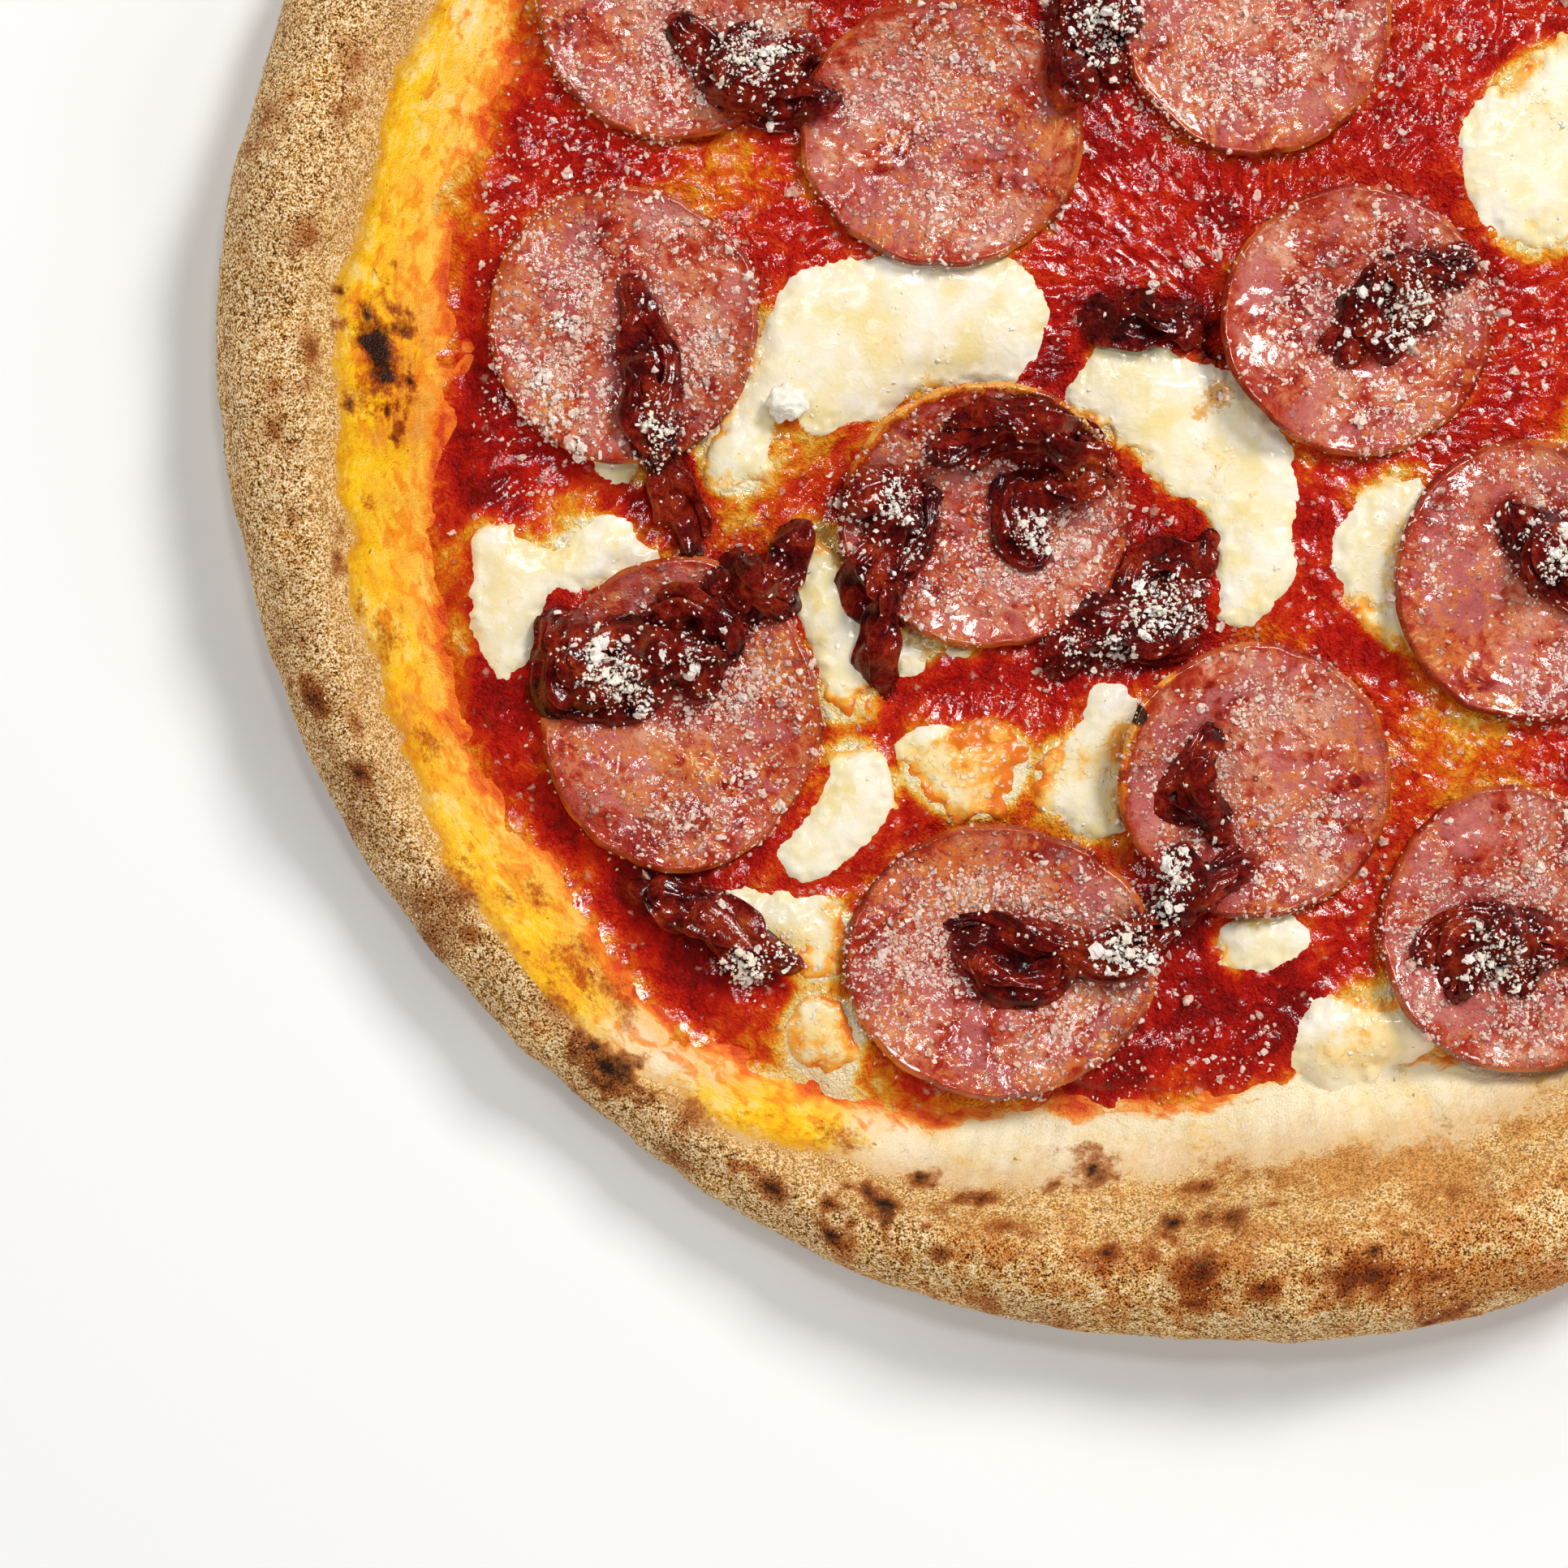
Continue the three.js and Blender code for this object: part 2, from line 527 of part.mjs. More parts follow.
function toSolid(geometry) {
  const bare = geometry.clone();
  bare.deleteAttribute('normal');
  bare.deleteAttribute('uv');
  const merged = BufferGeometryUtils.mergeVertices(bare, 1e-5);
  return new wasm.Manifold(new wasm.Mesh({
    numProp: 3,
    vertProperties: new Float32Array(merged.getAttribute('position').array),
    triVerts: new Uint32Array(merged.getIndex().array),
  }));
}

function joined(geometries) {
  const mesh = geometries.map(toSolid).reduce((whole, piece) => whole.add(piece)).getMesh();
  const geometry = new THREE.BufferGeometry();
  geometry.setAttribute('position', new THREE.BufferAttribute(mesh.vertProperties, 3));
  geometry.setIndex(new THREE.BufferAttribute(mesh.triVerts, 1));
  return geometry;
}

// ---- The pizza ----

const materials = {
  dough: new THREE.MeshStandardMaterial({ color: 0xc9975a, roughness: 0.9, metalness: 0 }),
  sauce: new THREE.MeshStandardMaterial({ color: 0xa3200c, roughness: 0.35, metalness: 0 }),
  cheese: new THREE.MeshStandardMaterial({ color: 0xf3e3b4, roughness: 0.4, metalness: 0 }),
  salami: new THREE.MeshStandardMaterial({ color: 0xb9594d, roughness: 0.45, metalness: 0 }),
  onion: new THREE.MeshStandardMaterial({ color: 0x4a1712, roughness: 0.3, metalness: 0 }),
};

const pieces = [];

function addPiece(name, kind, geometry) {
  stamp(geometry, pieces.length);
  pieces.push({ name, kind, geometry, crumbs: [] });
}

const numbered = (word, i) => `${word}_${String(i + 1).padStart(2, '0')}`;

addPiece('dough', 'dough', doughGeometry());
addPiece('sauce', 'sauce', sauceGeometry());

const poolRandom = seededRandom(seeds.pools);
const poolOutlines = [...runnyPools, ...roundPools.map((pool) => roundPoolCorners(pool, poolRandom))];
poolOutlines.forEach((corners, i) => addPiece(numbered('cheese', i), 'cheese', poolGeometry(corners)));

slices.forEach((slice, i) => addPiece(numbered('salami', i), 'salami', sliceGeometry(slice)));

const heapRandom = seededRandom(seeds.heaps);
const heaps = [...laidHeaps, ...tangledHeaps.map((heap) => tangledStrips(heap, heapRandom))];
heaps.forEach((strips, i) => addPiece(numbered('onion', i), 'onion', joined(strips.map(stripGeometry))));

// A crumb is set a little into the piece that it fell on, and only where no other piece is near it.
function addCrumb(x, y, radius, random) {
  const owner = reliefOwners[toCell(y) * cellsAcross + toCell(x)];
  let clear = true;
  let lowest = Infinity;
  visitAround(x, y, radius + 0.6, (place) => {
    clear = clear && reliefOwners[place] === owner;
    lowest = Math.min(lowest, reliefHeights[place]);
  });
  const piece = pieces[owner];
  const top = reliefHeights[toCell(y) * cellsAcross + toCell(x)];
  const steep = top - lowest > 1.2 * radius;
  const spacing = (other) => Math.hypot(other.x - x, other.y - y) - other.radius - radius;
  const crowded = piece.crumbs.some((other) => spacing(other) < 0.8);
  if (!clear || steep || crowded || piece.kind === 'dough') {
    return false;
  }
  const crumb = new THREE.IcosahedronGeometry(radius, 0);
  crumb.rotateX(6.28 * random());
  crumb.rotateY(6.28 * random());
  crumb.scale(1, 0.75 + 0.25 * random(), 0.8);
  crumb.translate(x, y, top + 0.35 * radius);
  piece.crumbs.push({ x, y, radius, geometry: crumb });
  return true;
}

const crumbRandom = seededRandom(seeds.crumbs);
for (const { x, y, spread, crumbs, radius } of clumps) {
  for (let made = 0, tries = 0; made < crumbs && tries < 40; tries += 1) {
    const angle = 2 * Math.PI * crumbRandom();
    const reach = spread * Math.sqrt(crumbRandom());
    const size = radius * (0.8 + 0.3 * crumbRandom());
    if (addCrumb(x + reach * Math.cos(angle), y + reach * Math.sin(angle), size, crumbRandom)) {
      made += 1;
    }
  }
}

// The rest is spread evenly over the filling, largest first, along a sunflower spiral.
const goldenAngle = Math.PI * (3 - Math.sqrt(5));
for (let i = 0; i < scattered.crumbs; i += 1) {
  const radius = THREE.MathUtils.lerp(scattered.largest, scattered.smallest, i / scattered.crumbs);
  const shuffled = (i * 17) % scattered.crumbs;
  const reach = scattered.reach * Math.sqrt((shuffled + 0.5) / scattered.crumbs);
  for (let tries = 0; tries < 12; tries += 1) {
    const x = reach * Math.cos(i * goldenAngle) + 2 * tries * (crumbRandom() - 0.5);
    const y = reach * Math.sin(i * goldenAngle) + 2 * tries * (crumbRandom() - 0.5);
    if (addCrumb(x, y, radius, crumbRandom)) {
      break;
    }
  }
}

const pizza = new THREE.Group();
for (const { name, kind, geometry, crumbs } of pieces) {
  const whole = crumbs.length ? joined([geometry, ...crumbs.map((crumb) => crumb.geometry)]) : geometry;
  const mesh = new THREE.Mesh(whole, materials[kind].clone());
  mesh.name = name;
  pizza.add(mesh);
}

export default pizza;
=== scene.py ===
"""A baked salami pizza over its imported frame: crust, sauce, melted cheese, salami, onion, grated cheese.

All shapes are worked out in millimetres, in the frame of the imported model, and scaled to metres
when a mesh is made. The camera looks straight down on the lower left part, as the photograph does.
"""
import itertools
import math

import bmesh
import bpy
import numpy as np
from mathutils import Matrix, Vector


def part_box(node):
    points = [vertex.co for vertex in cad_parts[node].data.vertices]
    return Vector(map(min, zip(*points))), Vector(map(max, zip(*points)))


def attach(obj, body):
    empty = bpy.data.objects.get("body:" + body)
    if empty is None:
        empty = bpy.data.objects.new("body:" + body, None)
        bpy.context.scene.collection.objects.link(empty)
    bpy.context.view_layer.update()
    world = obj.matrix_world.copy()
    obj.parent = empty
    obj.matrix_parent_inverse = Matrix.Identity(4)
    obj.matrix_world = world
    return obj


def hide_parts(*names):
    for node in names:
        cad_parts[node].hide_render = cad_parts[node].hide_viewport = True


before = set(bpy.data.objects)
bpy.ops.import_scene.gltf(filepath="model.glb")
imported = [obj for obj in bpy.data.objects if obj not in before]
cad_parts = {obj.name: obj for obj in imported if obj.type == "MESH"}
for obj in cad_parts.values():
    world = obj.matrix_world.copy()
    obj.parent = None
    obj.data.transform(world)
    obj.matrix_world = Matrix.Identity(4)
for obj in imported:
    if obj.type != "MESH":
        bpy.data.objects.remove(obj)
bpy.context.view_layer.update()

MM = 0.001

# ---- The frame's driving dimensions, which the solids also have ----

PIZZA_RADIUS = 150.0
BASE_TOP = 4.0
SAUCE_TOP = 5.9
SLICE_THICKNESS = 1.6
CHEESE_THICKNESS = 2.0
RIM_HEIGHTS = [19, 17, 18, 21, 22, 18, 17, 20, 22, 19, 15, 18, 23, 21, 18, 16]
SAUCE_EDGES = [117, 121, 119, 114, 113, 118, 121, 116, 112, 124, 125, 124, 111, 113, 119, 122]
# How far a film of sauce has run up the rim beyond them.
SPILLS = [0, 0, 0.5, 0, 0, 1, 0, 0, 4.6, 1.0, 5.5, 1.2, 0, 0, 0, 1]

# ---- How the crust is baked, counterclockwise from +X in equal steps ----

# Where the dry, sandy outside of the rim begins, measured from the middle.
SANDY_EDGES = [131, 136, 130, 127, 134, 138, 133, 129, 131.5, 136, 141, 134, 124, 124, 128, 134]
# From a pale, floury slope (0) to a deep yellow one (1).
WARMTH = [0.35, 0.5, 0.8, 0.9, 0.6, 0.3, 0.5, 0.9, 1.0, 1.0, 0.85, 0.3, 0.05, 0.1, 0.3, 0.45]
# Where the slope is deeper (more than 0) or paler (less) than that: x, y, radius, amount.
TINTED_PLACES = [
    (-117, -3, 7, 0.2), (-122, -12, 6, 0.3), (-119, 2, 5, 0.1), (-109, -1, 5, 0.1), (-126, -3, 5, 0.25),
    (-86, -106, 7, -0.35), (-66, -115, 6, 0.3), (-60, -119, 5, 0.2), (-101, -96, 5, 0.15),
    (-121, -56, 5, 0.15), (-116, -78, 6, 0.15), (-48, -118, 6, -0.25), (-96, -97, 4, 0.2),
]
# How brown the rim's outside is.
TOAST = [0.55, 0.3, 0.25, 0.4, 0.7, 0.5, 0.3, 0.25, 0.2, 0.2, 0.2, 0.55, 0.85, 0.9, 0.7, 0.6]

# Burnt spots on the rim: x, y, radius, how long they are along the rim, how dark.
BURNT_SPOTS = [
    (-125.5, -1.7, 2.1, 1.9, 1.05), (-122.0, 1.2, 1.7, 0.9, 0.66), (-121.0, -6.0, 0.8, 1.0, 0.8),
    (-129.5, -10.0, 0.8, 1.0, 0.7), (-125.0, -10.5, 0.6, 1.2, 0.75), (-128.5, -65.0, 1.4, 1.6, 0.66),
    (-134.5, -53.5, 1.2, 1.2, 0.6), (-135.0, -2.5, 1.2, 1.8, 0.6), (-91.5, -108.5, 2.0, 1.6, 0.82),
    (-67.5, -126.0, 1.6, 1.6, 0.72), (-59.5, -128.5, 1.1, 1.2, 0.7), (-58.5, -133.0, 1.3, 1.5, 0.72),
    (-50.5, -128.0, 1.6, 1.5, 0.8), (-45.5, -124.5, 1.2, 1.0, 0.7), (-8.0, -131.0, 1.5, 1.3, 0.72),
    (-17.5, -135.5, 1.3, 1.3, 0.66), (-96.0, -103.0, 1.0, 1.6, 0.55), (-131.5, -33.0, 1.0, 1.4, 0.55),
    (-3.0, -126.0, 1.1, 1.6, 0.6), (-112.0, -88.0, 1.1, 1.5, 0.5), (-36.0, -127.5, 1.2, 1.4, 0.6),
]
# Browner places at the sandy outside's outer edge, partly toast and partly painted shade: x, y, radius,
# amount.
BROWN_AND_SHADED_PLACES = [
    (-136, -44, 5, 0.5), (-134, -54, 4, 0.6), (-131, -64, 5, 0.6), (-118, -88, 6, 0.7),
    (-128, -72, 5, 0.6), (-108, -98, 6, 0.5), (-94, -110, 5, 0.4), (-80, -122, 5, 0.4), (-36, -142, 6, 0.4),
]
MORE_BURNT_SPOTS = 110
BLISTERS = 170
# Where the finish measures lengths along the rim.
RIM_RADIUS = 130.0

# ---- What the sauce is like: x, y, radius, amount ----

OILY_PLACES = [
    (-98, -26, 6, 1.35), (-72, -27, 8, 0.9), (-34, -64, 12, 0.9), (-84, -31, 6, 0.5), (-62, -16, 6, 0.8),
    (-58, -88, 8, 0.5), (-47, -12, 7, 0.6), (-6, -10, 7, 0.8), (2, -50, 6, 0.8), (-66, -106, 6, 0.8),
    (-48, -83, 6, 0.5), (-56, -112, 7, 0.7), (36, -60, 12, 0.8), (70, -22, 10, 0.8), (60, 12, 10, 0.7),
    (20, 72, 12, 0.8), (-40, 62, 12, 0.8), (-74, 24, 9, 0.7), (96, 30, 8, 0.8), (60, 96, 9, 0.8),
]
DEEP_PLACES = [
    (-113, -17, 10, 1.0), (-104, -12, 8, 1.0), (-97, -19, 6, 0.8), (-107, -52, 9, 0.8), (-97, -70, 6, 0.8),
    (-86, -80, 6, 0.9), (-72, -104, 7, 0.5), (-78, -92, 6, 0.9), (-38, -54, 7, 0.9), (-20, -112, 9, 0.8),
    (6, -104, 12, 1.0), (-16, -31, 6, 0.7), (-25, -3, 6, 0.8), (-60, -34, 5, 0.7), (-68, -77, 6, 0.6),
    (34, -112, 10, 0.8), (104, -10, 9, 0.8),
]

# ---- What the melted cheese is like: x, y, radius, amount ----

# Where it ends softly (more than 0) or crisply (less).
SOFT_PLACES = [
    (-113, -36, 7, -0.9), (-106, -46, 7, -0.8), (-104, -22, 5, 0.6), (-34, -64, 12, 1.0),
    (-60, -104, 9, 0.9), (-62, -88, 9, 0.6), (-78, -30, 5, -0.6), (-58, -46, 6, -0.7), (-36, -46, 8, -0.8),
    (-12, -24, 6, 0.5), (-2, -52, 6, -0.5), (-48, 0, 8, -0.4), (-66, -22, 5, 0.6), (-52, -72, 6, -0.6),
    (-20, -66, 6, 0.4),
]
# Where it is browned, and where oil and tomato have run into it.
BROWNED_PLACES = [(-0.5, -8.0, 2.6, 1.0), (-3.5, -11.0, 1.6, 0.7), (60, 34, 3.5, 0.8), (70, -70, 3.0, 0.8)]
STAINED_PLACES = [
    (-37, -63, 8, 0.9), (-30, -66, 5, 0.6), (-62, -90, 6, 0.5), (-59, -103, 5, 0.2), (-93, -37, 3, 0.45),
    (-47, 2, 6, 0.25), (-1, -19, 5, 0.5), (-54, -56, 4, 0.7), (-88, -19, 4, 0.3), (-60, -104, 5, 0.3),
    (-68, -16, 3, 0.3), (-7, -1, 4, 0.35), (-62, 74, 5, 0.6), (24, -38, 6, 0.5), (60, -6, 7, 0.5),
    (48, 34, 6, 0.4), (-16, 70, 5, 0.5), (20, -105, 6, 0.5), (-14.5, -61, 4, 1.0), (-14.5, -69, 4, 0.9),
    (92, 42, 5, 0.5), (64, -72, 6, 0.4), (38, 86, 5, 0.5), (-20, -63, 3, 0.4),
]

# ---- Strips of onion: the same paths as the solids have ----

# Heaps of strips, each with its path's corners and its width.
LAID_HEAPS = [
    [([(-89, 10), (-84.5, -7), (-84, -19.5), (-80, -27), (-79, -32)], 6.2),
     ([(-88, -1), (-86.5, -11), (-81.5, -19)], 4)],
    [([(-73, -31), (-71.5, -34), (-67.5, -39), (-63, -39.5)], 5),
     ([(-76, -34), (-73.5, -40), (-69, -42)], 5),
     ([(-66, -26.5), (-64.5, -31), (-67, -38)], 3.6)],
    [([(-100.5, -40), (-98, -46), (-98, -51), (-96, -57)], 7.4),
     ([(-90.5, -41), (-90, -49), (-92.5, -57)], 8.4),
     ([(-83.5, -44), (-85.5, -51), (-88, -56.5)], 6),
     ([(-86, -41), (-79.5, -40), (-74, -43), (-73, -48.5)], 5.4),
     ([(-81, -45), (-77, -49.5), (-79.5, -54.5)], 5),
     ([(-99, -50), (-91, -48), (-83, -47), (-73.5, -46)], 7)],
    [([(-89.5, -81.5), (-82, -84), (-75, -86.5), (-68.5, -91), (-63, -94)], 5.6),
     ([(-80, -85.5), (-74, -90), (-67, -96)], 4.4)],
    [([(-44, -17.5), (-37, -13.5), (-28.5, -13.5), (-21.5, -16.5), (-16, -21)], 7),
     ([(-18, -20.5), (-24, -22.5), (-30.5, -20.5)], 3.6),
     ([(-31.5, -20), (-31, -26.5), (-28.5, -31.5), (-26, -29)], 5.6)],
    [([(-45.5, -20.5), (-51, -22), (-58, -25)], 4.4),
     ([(-48, -22.5), (-50.5, -30.5), (-52.5, -37), (-48.5, -40)], 6.8),
     ([(-45.5, -22), (-45, -29), (-49, -36.5)], 5),
     ([(-51, -37), (-51.5, -45), (-50.5, -51), (-48.5, -53.5)], 2.8)],
    [([(-26, -50), (-20, -45), (-13, -41), (-6.5, -39), (-2.5, -36)], 7.4),
     ([(-14, -41), (-12.5, -34.5), (-8, -32.5), (-3, -33), (-2.5, -26.5)], 2.8),
     ([(-15, -46), (-9.5, -45.5), (-4.5, -42)], 6)],
    [([(-22, 4), (-13, 3), (-6.5, 2.5), (-2, 0)], 4.6),
     ([(-16, 7), (-9, 3.5), (-3, 5)], 4)],
    [([(-0.5, -57.5), (-5, -63), (-8, -68.5), (-2, -70.5), (0.5, -76)], 3.8),
     ([(-2, -61), (-4, -67), (1, -72)], 3.4)],
    [([(-41, -90), (-33.5, -88.5), (-25, -90.5), (-17.5, -92.5), (-11.5, -88.5), (-6.5, -85), (0, -80),
       (5, -77.5)], 6.2),
     ([(-40, -91), (-33.5, -95.5), (-26, -95), (-22, -92)], 4),
     ([(-9, -77.5), (-4.5, -80.5), (-6.5, -88)], 5.6)],
]
# Heaps that the photograph doesn't show: x, y, turn in degrees, length.
TANGLED_HEAPS = [
    (27, 5, 40, 25), (51, -32, 150, 24), (41, -92, 10, 26), (87, -38, 70, 23), (84, 22, 115, 25),
    (60, 60, 130, 27), (10, 86, 20, 24), (-18, 47, 75, 26), (-70, 42, 160, 28),
]

# Where grated cheese clings in white clumps: x, y, spread, amount.
CLUMPS = [
    (-91, -50, 4.0, 1.0), (-94, -46, 2.5, 0.7), (-87, -53, 2.5, 0.9), (-84.5, -13, 2.6, 0.8),
    (-85, -18, 2.0, 0.6), (-49, -24, 3.0, 0.8), (-47, -31, 2.2, 0.5), (-28.5, -29, 2.8, 0.8),
    (-9, -40, 4.6, 0.9), (-4, -40, 2.4, 0.7), (-16, -46, 3.0, 0.5), (-7, -79, 3.4, 1.0),
    (-9, -84, 3.0, 0.8), (-15, -91, 4.2, 0.9), (-71, -94, 3.2, 1.0), (-72, -99, 2.4, 0.7),
    (-66, -91, 2.2, 0.6), (-99, 3, 1.7, 0.8), (-102, -6, 1.6, 0.7), (-98, -9.5, 1.8, 0.8),
    (-95.5, -16, 1.5, 0.8), (-80, -48, 4, 0.4), (-77, -53, 3, 0.35), (-58, -25, 3.0, 0.35),
    (-22, -45, 3.0, 0.4), (-99.5, -12, 1.2, 0.7), (-106, -2, 1.3, 0.5), (27, 5, 5, 0.8), (51, -32, 5, 0.8),
    (41, -92, 5, 0.7), (87, -38, 5, 0.8), (84, 22, 5, 0.8), (60, 60, 5, 0.9), (10, 86, 5, 0.8),
    (-18, 47, 5, 0.8), (-70, 42, 5, 0.9),
]
# Where salami is oily and yellow, and where its rim is fried crisp.
GREASY_PLACES = [
    (-83, -61, 4, 0.6), (-77, -62.6, 3.5, 0.6), (-88.4, -68.3, 3.5, 0.5), (-64, -70, 4, 0.5),
    (-90, -40, 5, 0.4), (-68, -48, 5, 0.4), (-43, -46, 4, 0.6), (-50, -40, 4, 0.4), (-100, -8, 4, 0.4),
    (-78, -12, 4, 0.4), (-38, -84, 4, 0.4), (-32, -94, 4, 0.4), (-26, -46, 5, 0.3),
]
# Where it is redder: x, y, radius, amount.
RED_PLACES = [
    (-81.5, -56, 3.5, 0.8), (-88, -75, 4.5, 0.8), (-79, -71, 4, 0.8), (-97, -70, 5, 0.7),
    (-72, -60, 4, 0.4), (-101, -62, 4, 0.5), (-54, -96, 4, 0.7), (-40, -104, 5, 0.5), (-57, -86, 4, 0.6),
    (-30, -106, 4, 0.5), (-50, -77, 4, 0.5), (-34, -42, 4, 0.4), (-92, -2, 4, 0.4), (-68, -68, 3, 0.5),
    (-36, -76, 3, 0.4),
]
CRISP_PLACES = [
    (-57, -16, 7, 0.9), (-49, -8, 8, 1.1), (-37, -4, 8, 1.1), (-25, -6, 8, 1.1), (-18, -14, 6, 1.0),
    (-10, -50, 6, 0.9), (-13, -60, 6, 0.9), (-12, -70, 6, 0.7), (-62, -60, 6, 0.4), (-46, -38, 5, 0.5),
]
# Painted shade of a dark fold in its rim, as black marks.
FOLD_SHADE_MARKS = [(-12.8, -56.3, 1.5, 1.2), (-13.6, -55.0, 1.0, 0.8)]
# Where salami is covered with finer crumbs.
COVERED_PLACES = [
    (-100, 1, 9, 0.9), (-97, -12, 8, 0.9), (-75, -2, 7, 0.7), (-84, -72, 8, 0.2), (-46, -84, 10, 0.7),
    (-56, -98, 8, 0.4), (-25, -104, 8, 0.1), (-72, -48, 6, 0.5), (-90, -62, 7, -0.5), (-36, -102, 8, -0.3),
]
# The one large crumb: x, y, radius.
LARGE_CRUMB = (-65.0, -9.2, 2.9)

# ---- How finely things are made ----

CRUST_SECTORS = 1130
# Rows of the crust: the first of the rim, the first with streaks, the last before the crest, and how
# many at the end lie flat under the sauce.
FIRST_RIM_ROW = 10
STREAKED_ROW = 41
CREST_ROW = 46
FLAT_TOP_ROWS = 4
SAUCE_SECTORS = 860
SAUCE_RINGS = 108
CHEESE_STEP = 0.42
SLICE_SECTORS = 176
# Where a slice has rings of points, as shares of its radius: on top and underneath.
TOP_SHARES = np.concatenate([np.linspace(0.02, 0.93, 46), np.linspace(0.943, 1.0, 7)])
UNDER_SHARES = np.array([1.0, 0.93, 0.6, 0.25])
HEAP_STEP = 0.36
STRAND_SECTORS = 24
SEMOLINA_GRAINS = 16000
# The map of the whole filling, and how far a grid reaches beyond the piece that it holds.
RELIEF_STEP = 0.5
GRID_MARGIN = 4.0
# The height of grid points that a solid doesn't reach, and a distance at which nothing matters any more.
NOWHERE = 1e3
FAR = 99.0
# How far the nearness of cheese is worked out.
CHEESE_REACH = 9
# The strands of an onion strip: how far apart, their widths and their thickness.
STRAND_SPACING = 2.6
STRAND_WIDTHS = (3.0, 5.2)
STRAND_THICKNESSES = (0.5, 0.8)
# Where grated cheese may fall, and how many places are tried at a time.
FILLING_RADIUS = 121
TRIES = 60000
# What lies on top at a place.
ON_SAUCE, ON_CHEESE, ON_SALAMI, ON_ONION = 1, 2, 3, 4


# ---- Small tools ----

def smoothstep(low, high, value):
    """Rises smoothly from 0 to 1 as value goes from low to high."""
    share = np.clip((value - low) / (high - low), 0.0, 1.0)
    return share * share * (3 - 2 * share)


def columns(*parts):
    """Numbers or arrays put side by side, along a new last axis."""
    return np.stack(np.broadcast_arrays(*parts), axis=-1)


def around(entries, angle):
    """A smooth value between the entries of a list that goes once round the pizza."""
    entries = np.asarray(entries, float)
    place = (angle / (2 * np.pi)) % 1.0 * len(entries)
    first = np.floor(place).astype(int)
    t = place - first
    before, here, after, beyond = (entries[(first + k) % len(entries)] for k in (-1, 0, 1, 2))
    rise = after - here
    spread, spread_next = after - before, beyond - here
    cubic = 0.5 * (spread + spread_next) - 2 * rise
    square = 3 * rise - spread - 0.5 * spread_next
    return here + t * (0.5 * spread + t * (square + t * cubic))


def lattice(cells, seed):
    """A number from 0 to 1 for each whole-numbered place, always the same one."""
    mixed = np.full(len(cells), np.uint32(seed * 7919 + 17), np.uint32)
    for column, factor in zip(cells.T, (374761393, 668265263, 2246822519)):
        mixed += column.astype(np.int64).astype(np.uint32) * np.uint32(factor)
        mixed = (mixed ^ (mixed >> np.uint32(13))) * np.uint32(1274126177)
    mixed ^= mixed >> np.uint32(16)
    return (mixed & np.uint32(0xFFFFFF)) / float(0xFFFFFF)


def noise(points, size, seed=0):
    """Smooth noise from -1 to 1, with bumps about as wide as size."""
    scaled = np.asarray(points, float) / size + 57.3
    cells = np.floor(scaled)
    t = scaled - cells
    t = t ** 3 * (t * (t * 6 - 15) + 10)
    total = np.zeros(len(scaled))
    for corner in itertools.product((0, 1), repeat=scaled.shape[1]):
        weight = np.prod(np.where(np.array(corner), t, 1 - t), axis=1)
        total += weight * lattice(cells + corner, seed)
    return 2 * total - 1


TURN = np.array([[0.8, 0.6], [-0.6, 0.8]])


def layered(points, size, layers=3, seed=0):
    """Noise in layers, each half as wide and turned, so that no grid shows."""
    points = np.array(points, float)
    total, weight, sum_of_weights = 0.0, 1.0, 0.0
    for layer in range(layers):
        total = total + weight * noise(points, size, seed + layer)
        sum_of_weights += weight
        points[:, :2] = points[:, :2] @ TURN
        size, weight = size * 0.5, weight * 0.55
    return total / sum_of_weights


def rough(points, *layers):
    """The sum of noises, each of an amount, a size and a seed."""
    return sum(amount * noise(points, size, seed) for amount, size, seed in layers)


def seed_of(name, first, step):
    """The noise seed of a numbered piece."""
    return first + int(name[-2:]) * step


def turns(count):
    """Angles evenly round a circle."""
    return np.arange(count) / count * 2 * np.pi


def on_circle(radius, angle):
    return columns(radius * np.cos(angle), radius * np.sin(angle))


def polar(points):
    """Each point's distance from the pizza's middle, and its angle."""
    return np.hypot(points[:, 0], points[:, 1]), np.arctan2(points[:, 1], points[:, 0])


def unit(vectors):
    return vectors / np.maximum(np.linalg.norm(vectors, axis=-1, keepdims=True), 1e-9)


def between(first, last, share):
    return first + (last - first) * share


def blurred(values, reach):
    """A grid of numbers averaged over about that many cells on each side, three times."""
    size = max(1, int(round(reach)))
    for _ in range(3):
        for axis in (0, 1):
            pad = [(0, 0), (0, 0)]
            pad[axis] = (size + 1, size)
            summed = np.cumsum(np.pad(values, pad, mode="edge"), axis=axis)
            count = values.shape[axis]
            ahead = np.take(summed, np.arange(2 * size + 1, 2 * size + 1 + count), axis=axis)
            behind = np.take(summed, np.arange(0, count), axis=axis)
            values = (ahead - behind) / (2 * size + 1)
    return values


